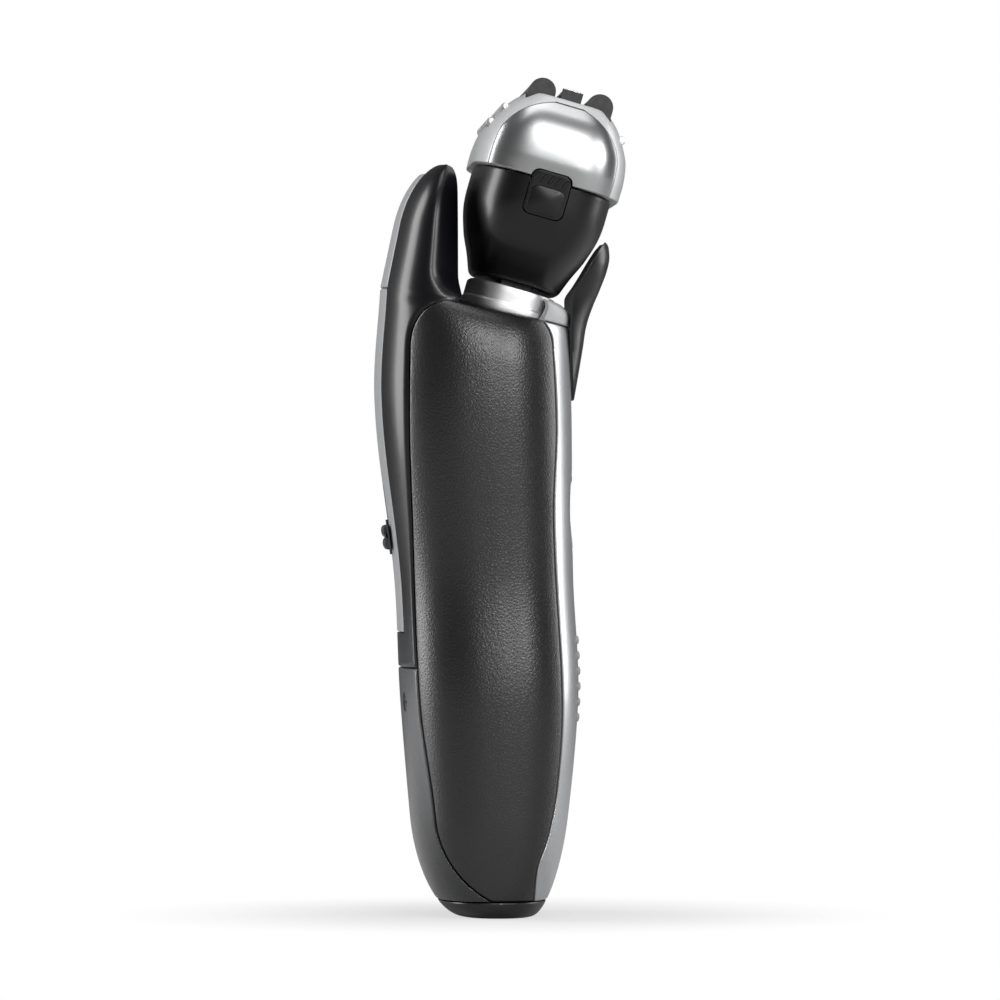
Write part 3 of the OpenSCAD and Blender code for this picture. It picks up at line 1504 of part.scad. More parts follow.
board_face = board_x + board_wall;
chips = [[5.2, 22, 6, 6, 1.2], [-5.5, 24, 5, 7, 1.4], [0, 36, 9, 5, 1.8], [-4, 50, 7, 7, 1], [6, 52, 3, 3, 1.5], [-9, 62, 4, 3, 1]];

module board_parts() {
    color("#232427")
    for (c = chips)
        translate([board_face + 0.02, c[0] - c[2] / 2, c[1] - c[3] / 2]) cube([c[4], c[2], c[3]]);
}

module power_switch() {
    reach = button_x - button_stem - shell_wall - button_travel - 0.3;
    color("#c4c7c9")
    translate([board_face + 0.02, 0, button_height]) rotate([0, 90, 0]) {
        translate([-switch_body / 2, -switch_body / 2, 0]) cube([switch_body, switch_body, reach - board_face - 0.6]);
        cylinder(r = 1.6, h = reach - board_face - 0.02, $fn = 32);
    }
}

module indicator_lamp() {
    color("#e9f2ee")
    translate([board_face + 0.02, 0, lens_height]) rotate([0, 90, 0])
        cylinder(r = 1.2, h = front_reach(lens_height) - shell_wall - shell_gap - 0.3 - board_face, $fn = 32);
}
grip_left();
grip_right();
front_shell();
power_button();
power_button_ring();
indicator_lens();
finger_dots();
rear_shell();
rear_panel();
trimmer_cover();
rear_lower_panel();
base_cap();
charging_contacts();
inner_housing();
head_housing();
release_button_left();
release_button_right();
foil_frame();
end_panel_left();
end_panel_right();
rear_roller_upper();
rear_roller_lower();
front_roller();
neck_collar();
neck_boot();
neck_trim();
front_guard();
neck_deck();
neck_fork();
tilt_pins();
tilt_bushes();
head_chassis();
motor_stator();
motor_coils();
armature_rear();
armature_front();
head_deck();
rear_foil();
front_foil();
rear_foil_holder();
front_foil_holder();
rear_blade();
front_blade();
centre_holder();
centre_comb();
centre_cutter();
float_springs();
release_springs();
trimmer_carriage();
trimmer_comb();
trimmer_blade();
trimmer_switch();
panel_screws();
chassis();
battery_cell();
cell_contacts();
circuit_board();
board_parts();
power_switch();
indicator_lamp();
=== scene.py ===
"""Looks of the electric shaver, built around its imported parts.

Every outer piece is meshed again from the same formulas as the solid part, with finer rows and
rounded edges, and every piece left from the solid part gets its own finish.
"""

from __future__ import annotations

import json
import logging
import math
from dataclasses import dataclass, field
from enum import Enum
from typing import Any, Callable, Iterable, Sequence

import bmesh
import bpy
from mathutils import Matrix, Vector


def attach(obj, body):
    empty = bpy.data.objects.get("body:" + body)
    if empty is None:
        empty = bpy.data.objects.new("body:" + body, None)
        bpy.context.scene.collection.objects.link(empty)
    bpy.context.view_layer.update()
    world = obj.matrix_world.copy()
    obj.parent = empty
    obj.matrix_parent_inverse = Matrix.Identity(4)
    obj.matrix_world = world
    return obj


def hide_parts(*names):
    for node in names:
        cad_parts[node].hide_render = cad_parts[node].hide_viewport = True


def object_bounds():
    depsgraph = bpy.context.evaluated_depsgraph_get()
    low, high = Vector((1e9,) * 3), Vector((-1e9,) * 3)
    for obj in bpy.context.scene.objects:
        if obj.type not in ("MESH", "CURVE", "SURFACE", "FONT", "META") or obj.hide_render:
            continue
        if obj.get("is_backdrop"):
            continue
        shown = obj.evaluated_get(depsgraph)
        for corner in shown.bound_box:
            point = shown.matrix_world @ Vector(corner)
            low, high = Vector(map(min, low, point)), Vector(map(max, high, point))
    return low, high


log = logging.getLogger("shaver")
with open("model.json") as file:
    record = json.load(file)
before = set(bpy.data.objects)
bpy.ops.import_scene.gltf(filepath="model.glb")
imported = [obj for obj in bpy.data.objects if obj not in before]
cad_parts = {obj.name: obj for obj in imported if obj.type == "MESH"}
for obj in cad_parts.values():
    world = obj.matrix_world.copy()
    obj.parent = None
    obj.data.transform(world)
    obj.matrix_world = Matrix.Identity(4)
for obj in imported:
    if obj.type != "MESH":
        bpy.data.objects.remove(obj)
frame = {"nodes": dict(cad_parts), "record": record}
CAD_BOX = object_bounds()

MM = 0.001
Stations = Sequence[tuple[float, float]]
Grid = list[list[Vector]]
PointAt = Callable[[float, float, float], Vector]
SIDES = {1: "left", -1: "right"}
ENDS = {1: "front", -1: "rear"}


# ---- curves, in millimetres ----


def station_slope(s: Stations, i: int) -> float:
    """Slope of a curve of (position, value) stations at station i."""
    a, b = max(i - 1, 0), min(i + 1, len(s) - 1)
    return (s[b][1] - s[a][1]) / (s[b][0] - s[a][0])


def along(s: Stations, t: float) -> float:
    """Value at position t of a smooth curve through stations, level beyond its ends.

    Args:
        s: Pairs of position and value, in rising order of position.
        t: Position on the curve.

    Returns:
        The curve's value there.
    """
    if t <= s[0][0]:
        return s[0][1]
    if t >= s[-1][0]:
        return s[-1][1]
    i = next(k for k in range(len(s) - 1) if t <= s[k + 1][0])
    h = s[i + 1][0] - s[i][0]
    u = (t - s[i][0]) / h
    return (
        (2 * u**3 - 3 * u**2 + 1) * s[i][1]
        + (u**3 - 2 * u**2 + u) * h * station_slope(s, i)
        + (3 * u**2 - 2 * u**3) * s[i + 1][1]
        + (u**3 - u**2) * h * station_slope(s, i + 1)
    )


def steps(start: float, end: float, count: int) -> list[float]:
    """Evenly spaced values from start to end, count spaces apart."""
    return [start + (end - start) * i / count for i in range(count + 1)]


def ease(u: float) -> float:
    """Smooth step from 0 to 1."""
    v = min(max(u, 0.0), 1.0)
    return v * v * (3 - 2 * v)


def mix(a: float, b: float, u: float) -> float:
    """Value a share u of the way from a to b."""
    return a + (b - a) * u


def signed_power(v: float, p: float) -> float:
    """Power of a number that keeps its sign."""
    return math.copysign(abs(v) ** p, v) if v else 0.0


def rounding(t: float, reach: float) -> float:
    """How much of a quarter-round is left at distance t from its start."""
    return 0.0 if t >= reach else 1 - math.sqrt(max(0.0, 1 - (1 - max(t, 0.0) / reach) ** 2))


def hump(u: float) -> float:
    """Smooth hump: 1 at the middle and 0 from a distance of 1."""
    return 0.0 if abs(u) >= 1 else math.cos(math.pi / 2 * u) ** 2


def sin_d(a: float) -> float:
    """Sine of an angle in degrees."""
    return math.sin(math.radians(a))


def cos_d(a: float) -> float:
    """Cosine of an angle in degrees."""
    return math.cos(math.radians(a))


def turn(angle: float, axis: str) -> Matrix:
    """Turn by an angle in degrees about an axis."""
    return Matrix.Rotation(math.radians(angle), 4, axis)


def rounded_depth(a: float, b: float, radius: float) -> float:
    """Depth of a rounded border at distances a and b from its two nearest edges.

    Args:
        a: Distance from the nearer side edge.
        b: Distance from the nearer end edge.
        radius: Radius of the rounding.

    Returns:
        How far the surface lies under its full height, from 0 to the radius.
    """
    p, q = max(0.0, radius - a), max(0.0, radius - b)
    return radius - math.sqrt(max(0.0, radius**2 - p**2 - q**2))


# ---- the shaver's shape, with the sizes of the solid part ----


@dataclass(frozen=True)
class HandleShape:
    """Outside of the handle: rings at heights, with an angle round each from the front."""

    height: float = 122
    foot_round: float = 20
    neck_lean: float = 12
    squareness: float = 2.5
    seam: float = 0.24
    wall: float = 1.8
    base_height: float = 3.2
    rear_seam: float = 50
    front: Stations = ((0, 11.2), (42.7, 15.5), (68.32, 14.5), (102.48, 14.2), (122, 14.2))
    rear: Stations = ((0, 16.4), (42.7, 20.1), (68.32, 21.4), (102.48, 25.4), (122, 24.6))
    width: Stations = ((0, 22), (42.7, 25.5), (68.32, 25), (102.48, 28), (122, 28))
    round_front: float = 5.2
    round_rear: float = 8.6
    round_side: float = 5
    grip_front: Stations = (
        (0, 5.9), (10, 6.5), (16, 8.6), (26, 10.6), (42.7, 11.6), (79.3, 9.8), (97.6, 10.4), (122, 9.8),
    )
    grip_rear: Stations = ((0, 13), (20, 13.9), (42.7, 16.9), (79.3, 18.5), (97.6, 19.2), (122, 19.2))
    dish_height: float = 81
    dish_depth: float = 1.1
    dish_length: float = 9
    dish_width: float = 13

    def front_reach(self, h: float) -> float:
        """Distance from the centre line to the front at a height."""
        return along(self.front, h) - self.round_front * rounding(h, self.foot_round)

    def rear_reach(self, h: float) -> float:
        """Distance from the centre line to the back at a height."""
        return along(self.rear, h) - self.round_rear * rounding(h, self.foot_round)

    def half_width(self, h: float) -> float:
        """Half of the widest ring at a height."""
        return along(self.width, h) - self.round_side * rounding(h, self.foot_round)

    def centre(self, h: float) -> float:
        """Middle of the ring between back and front."""
        return (self.front_reach(h) - self.rear_reach(h)) / 2

    def half_depth(self, h: float) -> float:
        """Half of the ring's depth."""
        return (self.front_reach(h) + self.rear_reach(h)) / 2

    def lean(self, h: float) -> float:
        """Forward lean of the ring in degrees."""
        start = 0.74 * self.height
        return self.neck_lean * ease((h - start) / (self.height - start))

    def width_at(self, h: float, angle: float) -> float:
        """Half width for an angle round the ring, with the shoulder's rounding fading at the back."""
        fade = ease((cos_d(angle) + 0.85) / 0.9)
        return self.half_width(h) - 4 * rounding(self.height - h, 11) * fade

    def skin(self, h: float, angle: float, depth: float = 0.0) -> Vector:
        """Point of the skin.

        Args:
            h: Height of the ring's middle.
            angle: Angle round the ring from the front, in degrees.
            depth: Distance inside the skin.

        Returns:
            The point, in millimetres.
        """
        p = 2 / self.squareness
        x = (self.half_depth(h) - depth) * signed_power(cos_d(angle), p)
        y = (self.width_at(h, angle) - depth) * signed_power(sin_d(angle), p)
        lean = self.lean(h)
        return Vector((self.centre(h) + x * cos_d(lean), y, h - x * sin_d(lean)))

    def angle_at(self, h: float, x: float) -> float:
        """Angle round the ring where the skin is at distance x along the ring's plane."""
        u = min(max((x - self.centre(h)) / self.half_depth(h), -1.0), 1.0)
        return math.degrees(math.acos(signed_power(u, self.squareness / 2)))

    def grip_front_edge(self, h: float) -> float:
        """Front edge of the grips at a height."""
        return along(self.grip_front, h) - 3 * rounding(self.height - h, 5)

    def grip_rear_edge(self, h: float) -> float:
        """Rear edge of the grips at a height, with its rounded corners."""
        return -along(self.grip_rear, h) + 24 * rounding(h, 20) + 10 * rounding(self.height - h, 10)

    def front_angle(self, h: float, gap: float = 0.0) -> float:
        """Angle of the grips' front edge, moved forward by a gap."""
        return self.angle_at(h, self.grip_front_edge(h) + gap)

    def rear_angle(self, h: float, gap: float = 0.0) -> float:
        """Angle of the grips' rear edge, moved back by a gap."""
        return self.angle_at(h, self.grip_rear_edge(h) - gap)

    def dish(self, h: float, y: float) -> float:
        """Depth of the thumb dish at a height and a distance from the middle."""
        return self.dish_depth * hump((h - self.dish_height) / self.dish_length) * hump(y / self.dish_width)

    def top_place(self) -> Matrix:
        """Placement of the leaning plane at the handle's top."""
        return Matrix.Translation((self.centre(self.height), 0, self.height)) @ turn(self.neck_lean, "Y")

    def front_at(self, y: float, h: float, out: float = 0.0) -> Vector:
        """Point of the dished front at a distance aside and a height, standing out by a distance."""
        width = self.half_width(h)
        x = self.half_depth(h) * (1 - abs(y / width) ** self.squareness) ** (1 / self.squareness)
        return Vector((self.centre(h) + x - self.dish(h, y) + out, y, h))


@dataclass(frozen=True)
class GuardShape:
    """Top of the rear shell, which rises behind the head along a leaning plane."""

    handle: HandleShape = HandleShape()
    rise: float = 27
    front_low: float = 3.2
    front_high: float = 3.9
    panel_width: float = 24
    panel_wall: float = 1.2
    panel_low: float = 57

    @property
    def top(self) -> float:
        """Height of the guard's top."""
        return self.handle.height + self.rise

    @property
    def cover_top(self) -> float:
        """Height of the top of the trimmer's cover."""
        return self.top - 2.6

    def rear(self, h: float) -> float:
        """Distance of the guard's rear face from the handle's top centre."""
        base = self.handle.half_depth(self.handle.height)
        lean = (h - self.handle.height) * sin_d(self.handle.neck_lean)
        return base - lean - 7 * rounding(self.top - h, 14)

    def front(self, h: float) -> float:
        """Distance of the guard's front face from the handle's top centre."""
        low = mix(self.front_low, self.front_high, ease((h - self.handle.height) / 5))
        return low + 2 * rounding(self.top - h, 5)

    def share(self, h: float) -> float:
        """Width of the guard as a share of the handle's width."""
        return mix(1, 0.92, (h - self.handle.height) / self.rise) - 0.3 * rounding(self.top - h, 14)

    def hollow(self, h: float) -> float:
        """Depth of the hollow in the guard's front face."""
        rise = h - self.handle.height
        return 3 * ease(rise / 4) * (1 - 0.85 * rise / self.rise)

    def plane(self, h: float, along_x: float, y: float) -> Vector:
        """Point in the guard's leaning plane at a height, along and across."""
        centre, lean = self.handle.centre(self.handle.height), self.handle.neck_lean
        return Vector((centre + along_x * cos_d(lean), y, h - along_x * sin_d(lean)))

    def point(self, h: float, angle: float, inset: float) -> Vector:
        """Point of the guard's outside at an angle round the handle's top ring."""
        handle = self.handle
        depth = handle.half_depth(handle.height)
        base = -depth * signed_power(-cos_d(angle), 2 / handle.squareness)
        v = (-self.front_low - base) / (depth - self.front_low)
        x = -mix(self.front(h), self.rear(h), v)
        scoop = 0.3 * ease((h - handle.height) / 6) * (1 - min(v / 0.5, 1)) ** 2
        y = handle.width_at(handle.height, angle) * signed_power(sin_d(angle), 2 / handle.squareness)
        return self.plane(h, x + inset, y * self.share(h) * (1 - scoop))

    def panel_angle(self, h: float, half: float) -> float:
        """Angle on a ring where the skin is a distance from the middle of the back."""
        share = 1.0 if h <= self.handle.height else self.share(h)
        u = half / share / self.handle.half_width(self.handle.height)
        return 180 - math.degrees(math.asin(u ** (self.handle.squareness / 2)))

    def outside(self, h: float, angle: float, inset: float) -> Vector:
        """Point of the rear shell or the guard, whichever is at that height."""
        if h <= self.handle.height:
            return self.handle.skin(h, angle, inset)
        return self.point(h, angle, inset)


@dataclass(frozen=True)
class HeadShape:
    """Head in its own frame: up the head, forward and across, from its floor."""

    handle: HandleShape = HandleShape()
    width: float = 69.6
    depth: float = 30.2
    housing: float = 20.6
    frame_height: float = 16.3
    lean: float = 16
    forward: float = 6.5
    rise: float = 5.9
    foil_spacing: float = 11.8
    foil_radius: float = 2.6
    foil_length: float = 54
    bowl_wall: float = 1.6
    frame_wall: float = 1.6
    panel_wall: float = 1.1
    panel_drop: float = 1.1
    rim_room: float = 1.1
    foil_wall: float = 0.25
    foil_leg: float = 5.4
    release_width: float = 8.0
    release_height: float = 9.0

    @property
    def bottom(self) -> float:
        """Lower edge of the foil frame."""
        return self.housing + 0.3

    @property
    def top(self) -> float:
        """Top of the foil frame."""
        return self.bottom + self.frame_height

    @property
    def foil_centre(self) -> float:
        """Height of the foils' centre line."""
        return self.top + 0.5

    @property
    def bowl_depth(self) -> float:
        """Half depth of the bowl at its rim."""
        return self.depth / 2 - self.rim_room

    @property
    def bowl_width(self) -> float:
        """Half width of the bowl at its rim."""
        return self.width / 2 - self.rim_room

    def matrix(self) -> Matrix:
        """Placement of the head's frame, in millimetres."""
        shift = Matrix.Translation((self.forward, 0, self.rise))
        return self.handle.top_place() @ shift @ turn(self.lean - self.handle.neck_lean, "Y")

    def section(self, a: float, b: float, power: float, w: float, angle: float, inset: float) -> Vector:
        """Point on a superellipse section at an angle, with a depth inside it."""
        x = (a - inset) * signed_power(cos_d(angle), 2 / power)
        y = (b - inset) * signed_power(sin_d(angle), 2 / power)
        return Vector((x, y, w))

    def bowl(self, w: float, angle: float, inset: float) -> Vector:
        """Point of the head housing's outside."""
        d, b, h = self.bowl_depth, self.bowl_width, self.housing
        deep = ((0, d - 5), (0.2 * h, d - 3.5), (0.4 * h, d - 1.7), (0.67 * h, d - 0.2), (h, d))
        wide = ((0, b - 13.2), (0.2 * h, b - 8.2), (0.4 * h, b - 4), (0.67 * h, b - 1), (h, b))
        return self.section(along(deep, w), along(wide, w), 3.4, w, angle, inset)

    def frame_half_depth(self, w: float) -> float:
        """Half depth of the foil frame at a height."""
        f, d = self.bottom, self.depth / 2
        lower = ((f, d), (f + 4, d), (f + 8, d - 0.7))
        return along(lower + ((f + 11, d - 2.2), (f + 14, d - 4.2), (self.top, d - 6.6)), w)

    def frame_half_width(self, w: float) -> float:
        """Half width of the foil frame at a height."""
        f, b, top = self.bottom, self.width / 2, self.foil_length / 2 + 3.4
        upper = ((f + 9, mix(b, top, 0.09)), (f + 13, mix(b, top, 0.41)), (self.top, top))
        return along(((f, b - 0.5), (f + 4, b)) + upper, w)

    def frame_point(self, w: float, angle: float, inset: float) -> Vector:
        """Point of the foil frame's outside."""
        return self.section(self.frame_half_depth(w), self.frame_half_width(w), 5, w, angle, inset)

    def panel_edge(self, w: float, gap: float) -> float:
        """Angle from the front where the end panel's edge lies."""
        f, d = self.bottom, self.depth / 2
        arch = 1 - rounding(self.top - 0.85 - w, 9.2)
        x = along(((f, d - 2.8), (f + 4, d - 2.8), (f + 9, d - 3.4), (self.top, d - 4.6)), w) * arch + gap
        return math.degrees(math.acos((x / self.frame_half_depth(w)) ** 2.5))


# ---- meshes ----


def border_steps(length: float, radius: float, count: int) -> list[tuple[float, float]]:
    """Shares of a length, closer together inside both rounded borders.

    Args:
        length: Length to divide, in millimetres.
        radius: Radius of the rounded border at both ends.
        count: Number of even spaces between the borders.

    Returns:
        Pairs of share from 0 to 1 and distance from the nearer end.
    """
    near = [radius * k for k in (0.0, 0.08, 0.26, 0.52, 0.78)]
    inner = steps(radius, length - radius, count)
    found = near + inner + [length - d for d in reversed(near)]
    return [(d / length, min(d, length - d)) for d in found]


def length_of(points: Sequence[Vector]) -> float:
    """Length of a line through points."""
    return sum((b - a).length for a, b in zip(points, points[1:]))


def new_object(name: str, verts: Sequence[Vector], faces: Sequence[Sequence[int]]) -> bpy.types.Object:
    """Object with a mesh given in millimetres, its faces turned to the outside.

    Args:
        name: Name of the object and its mesh.
        verts: Points in millimetres, in the part's own frame.
        faces: Corners of each face.

    Returns:
        The new object, in metres.
    """
    mesh = bpy.data.meshes.new(name)
    mesh.from_pydata([tuple(v * MM) for v in verts], [], [tuple(f) for f in faces])
    work = bmesh.new()
    work.from_mesh(mesh)
    bmesh.ops.remove_doubles(work, verts=work.verts, dist=1e-7)
    bmesh.ops.recalc_face_normals(work, faces=work.faces)
    work.to_mesh(mesh)
    work.free()
    obj = bpy.data.objects.new(name, mesh)
    bpy.context.scene.collection.objects.link(obj)
    return obj


def smooth(obj: bpy.types.Object, angle: float = 38.0) -> bpy.types.Object:
    """Shades a mesh smooth, with edges over an angle left sharp."""
    for face in obj.data.polygons:
        face.use_smooth = True
    obj.data.set_sharp_from_angle(angle=math.radians(angle))
    return obj


def bevel(obj: bpy.types.Object, width: float, segments: int = 3, angle: float = 32.0) -> bpy.types.Object:
    """Rounds the sharp edges of an object with a modifier.

    Args:
        obj: Object to round.
        width: Width of the rounding in millimetres.
        segments: Number of faces across it.
        angle: Edges sharper than this many degrees are rounded.

    Returns:
        The same object.
    """
    modifier = obj.modifiers.new("rounded_edges", "BEVEL")
    modifier.width = width * MM
    modifier.segments = segments
    modifier.limit_method = "ANGLE"
    modifier.angle_limit = math.radians(angle)
    modifier.use_clamp_overlap = True
    return obj


@dataclass
class Mesher:
    """Collects points and faces of one piece, in millimetres."""

    verts: list[Vector] = field(default_factory=list)
    faces: list[list[int]] = field(default_factory=list)

    def grid(self, rows: Grid, closed: bool = False) -> list[list[int]]:
        """Adds a grid of quads.

        Args:
            rows: Rows of points, all of one length.
            closed: Whether the last column joins the first.

        Returns:
            The index of each point, row by row.
        """
        first = len(self.verts)
        n = len(rows[0])
        self.verts.extend(p for row in rows for p in row)
        index = [[first + i * n + k for k in range(n)] for i in range(len(rows))]
        for a, b in zip(index, index[1:]):
            self.join(a, b, closed)
        return index

    def join(self, a: Sequence[int], b: Sequence[int], closed: bool = False) -> None:
        """Joins two rows of points already added with a strip of quads."""
        n = len(a)
        for k in range(n if closed else n - 1):
            self.faces.append([a[k], a[(k + 1) % n], b[(k + 1) % n], b[k]])

    def lid(self, ring: Sequence[int]) -> None:
        """Closes a ring of points with one face."""
        self.faces.append(list(ring))

    def solid(self, rings: Grid) -> None:
        """Adds a tube of closed rings with a lid at each end."""
        index = self.grid(rings, closed=True)
        self.lid(index[0])
        self.lid(index[-1])

    def plate(self, outer: Grid, inner: Grid) -> None:
        """Adds two open grids of one size, joined along their four edges."""
        a, b = self.grid(outer), self.grid(inner)
        for end in (0, -1):
            self.join(a[end], b[end])
        for end in (0, -1):
            self.join([row[end] for row in a], [row[end] for row in b])

    def build(self, name: str) -> bpy.types.Object:
        """Makes the object."""
        return new_object(name, self.verts, self.faces)


@dataclass
class Panel:
    """Curved plate of even thickness with a rounded border."""

    point: PointAt
    low: float
    high: float
    wall: float
    radius: float = 0.5
    rows: int = 40
    columns: int = 40

    def build(self, name: str) -> bpy.types.Object:
        """Makes the plate.

        Args:
            name: Name of the object.

        Returns:
            A closed mesh whose point at height h, share s across and depth d is point(h, s, d).
        """
        middle = [self.point(h, 0.5, 0.0) for h in steps(self.low, self.high, 16)]
        outer: Grid = []
        inner: Grid = []
        for share, from_end in border_steps(length_of(middle), self.radius, self.rows):
            h = mix(self.low, self.high, share)
            across = length_of([self.point(h, s, 0.0) for s in steps(0, 1, 16)])
            places = border_steps(across, self.radius, self.columns)
            outer.append([self.point(h, s, rounded_depth(d, from_end, self.radius)) for s, d in places])
            inner.append([self.point(h, s, self.wall) for s, _ in places])
        mesher = Mesher()
        mesher.plate(outer, inner)
        return mesher.build(name)


def circle(radius: float, count: int = 64) -> list[Vector]:
    """Points of a flat circle about the origin."""
    angles = [360 * k / count for k in range(count)]
    return [Vector((radius * cos_d(a), radius * sin_d(a), 0)) for a in angles]


def rounded_rect(width: float, height: float, radius: float, corner: int = 8, side: int = 1) -> list[Vector]:
    """Points of a flat rectangle with rounded corners, about the origin.

    Args:
        width: Size along X.
        height: Size along Y.
        radius: Radius of the corners.
        corner: Number of spaces round each corner.
        side: Number of spaces along each straight side.

    Returns:
        The points in order.
    """
    found = []
    for i, (sx, sy) in enumerate(((1, 1), (-1, 1), (-1, -1), (1, -1))):
        x, y = sx * (width / 2 - radius), sy * (height / 2 - radius)
        for a in steps(90 * i, 90 * (i + 1), corner):
            found.append(Vector((x + radius * cos_d(a), y + radius * sin_d(a), 0)))
    ends = range(corner, len(found), corner + 1)
    for k in reversed(ends):
        after = found[(k + 1) % len(found)]
        found[k + 1:k + 1] = [found[k].lerp(after, j / side) for j in range(1, side)]
    return found


def rings_at(outline: Sequence[Vector], heights: Sequence[float], place: Matrix) -> Grid:
    """Flat outline repeated at heights over a place, one ring for each."""
    return [[place @ Vector((p.x, p.y, z)) for p in outline] for z in heights]


def box_rings(low: Sequence[float], size: Sequence[float], place: Matrix) -> Grid:
    """Lower and upper ring of a box with a lowest corner and a size, put in a place."""
    x, y, z = low
    a, b, c = size
    outline = [Vector(p) for p in ((x, y, 0), (x + a, y, 0), (x + a, y + b, 0), (x, y + b, 0))]
    return rings_at(outline, (z, z + c), place)


def cutter(rings: Grid) -> bpy.types.Object:
    """Closed solid through rings, for cutting a hole."""
    mesher = Mesher()
    mesher.solid(rings)
    return mesher.build("cutter")


def prism(outline: Sequence[Vector], low: float, high: float, place: Matrix) -> bpy.types.Object:
    """Cutter on a flat outline, from a low to a high end over a place."""
    return cutter(rings_at(outline, (low, high), place))


def box_at(low: Sequence[float], size: Sequence[float], place: Matrix) -> bpy.types.Object:
    """Cutter in the shape of a box with a lowest corner and a size, put in a place."""
    return cutter(box_rings(low, size, place))


def cut(obj: bpy.types.Object, cutters: Iterable[bpy.types.Object]) -> bpy.types.Object:
    """Takes the cutters' shapes out of an object and removes them.

    Args:
        obj: Object to cut.
        cutters: Closed objects, used up by the cut.

    Returns:
        The same object with its new mesh.
    """
    for cutter in cutters:
        modifier = obj.modifiers.new("cut", "BOOLEAN")
        modifier.operation = "DIFFERENCE"
        modifier.solver = "MANIFOLD"
        modifier.object = cutter
        bpy.context.view_layer.update()
        graph = bpy.context.evaluated_depsgraph_get()
        mesh = bpy.data.meshes.new_from_object(obj.evaluated_get(graph))
        obj.modifiers.remove(modifier)
        old, obj.data = obj.data, mesh
        mesh.name = obj.name
        bpy.data.meshes.remove(old)
        bpy.data.objects.remove(cutter)
    return obj


# ---- finishes ----


Colour = tuple[float, float, float]
ROWS_PER_HOLE = 1.1547
ROW_PITCH = 0.866


class Grain(Enum):
    """Fine relief of a surface."""

    MOULDED = "moulded"
    LEATHER = "leather"
    BRUSHED = "brushed"
    SATIN = "satin"
    POLISHED = "polished"
    PERFORATED = "perforated"
    WIRE = "wire"
    LAMINATED = "laminated"


class Sock:
    """Shader socket that takes part in sums and products."""

    def __init__(self, tree: "Shader", socket: bpy.types.NodeSocket) -> None:
        """Keeps the socket and the tree it is in."""
        self.tree = tree
        self.socket = socket

    def _math(self, operation: str, *values: Any) -> "Sock":
        """Result of a maths node on this value and others."""
        return self.tree.node("ShaderNodeMath", dict(enumerate(values)), operation=operation)

    def __add__(self, other: Any) -> "Sock":
        """Sum."""
        return self._math("ADD", self, other)

    __radd__ = __add__

    def __sub__(self, other: Any) -> "Sock":
        """Difference."""
        return self._math("SUBTRACT", self, other)

    def __mul__(self, other: Any) -> "Sock":
        """Product."""
        return self._math("MULTIPLY", self, other)

    __rmul__ = __mul__

    def wave(self) -> "Sock":
        """Sine."""
        return self._math("SINE", self)

    def floor(self) -> "Sock":
        """Whole part."""
        return self._math("FLOOR", self)

    def fraction(self) -> "Sock":
        """Part after the whole part."""
        return self._math("FRACT", self)

    def root(self) -> "Sock":
        """Square root."""
        return self._math("SQRT", self)

    def between(self, low: float, high: float) -> "Sock":
        """Smooth step from 0 at low to 1 at high."""
        values = {"Value": self, "From Min": low, "From Max": high}
        return self.tree.node("ShaderNodeMapRange", values, interpolation_type="SMOOTHSTEP")


class Shader:
    """Node tree of a material or of the surroundings."""

    def __init__(self, owner: Any) -> None:
        """Empties the node tree of a new material or world."""
        self.owner = owner
        owner.use_nodes = True
        self.nodes = owner.node_tree.nodes
        self.links = owner.node_tree.links
        self.nodes.clear()

    def node(self, kind: str, values: dict[Any, Any], out: Any = 0, **settings: Any) -> Sock:
        """Adds a node.

        Args:
            kind: Type of the node.
            values: Inputs by name or number: a socket to link or a plain value.
            out: Name or number of the output.
            **settings: The node's properties, set before its inputs.

        Returns:
            That output.
        """
        node = self.nodes.new(kind)
        for key, value in settings.items():
            setattr(node, key, value)
        for key, value in values.items():
            if isinstance(value, Sock):
                self.links.new(value.socket, node.inputs[key])
            else:
                node.inputs[key].default_value = value
        return Sock(self, node.outputs[out])

    def finish(self, surface: Sock, kind: str = "ShaderNodeOutputMaterial") -> Any:
        """Links a surface to the tree's output and gives back the tree's owner."""
        self.links.new(surface.socket, self.nodes.new(kind).inputs["Surface"])
        return self.owner

    def blend(self, factor: Any, a: Any, b: Any) -> Sock:
        """Colour mixed from two colours."""
        colours = [(*c, 1.0) if isinstance(c, tuple) and len(c) == 3 else c for c in (a, b)]
        return self.node("ShaderNodeMix", {0: factor, 6: colours[0], 7: colours[1]}, 2, data_type="RGBA")

    def place(self, source: str = "Object") -> Sock:
        """Coordinates of the surface."""
        return self.node("ShaderNodeTexCoord", {}, source)

    def scaled(self, vector: Sock, scale: Sequence[float]) -> Sock:
        """Coordinates multiplied by a scale on each axis."""
        return self.node("ShaderNodeVectorMath", {0: vector, 1: tuple(scale)}, operation="MULTIPLY")

    def axes(self, vector: Sock) -> list[Sock]:
        """The three parts of a vector."""
        split = self.node("ShaderNodeSeparateXYZ", {0: vector}).socket.node
        return [Sock(self, output) for output in split.outputs]

    def noise(self, vector: Sock, scale: float, detail: float = 3.0, rough: float = 0.55) -> Sock:
        """Soft noise from 0 to 1."""
        values = {"Vector": vector, "Scale": scale, "Detail": detail, "Roughness": rough}
        return self.node("ShaderNodeTexNoise", values)

    def cells(self, vector: Sock, scale: float, feature: str = "DISTANCE_TO_EDGE") -> Sock:
        """Distance field of irregular cells."""
        return self.node("ShaderNodeTexVoronoi", {"Vector": vector, "Scale": scale}, feature=feature)


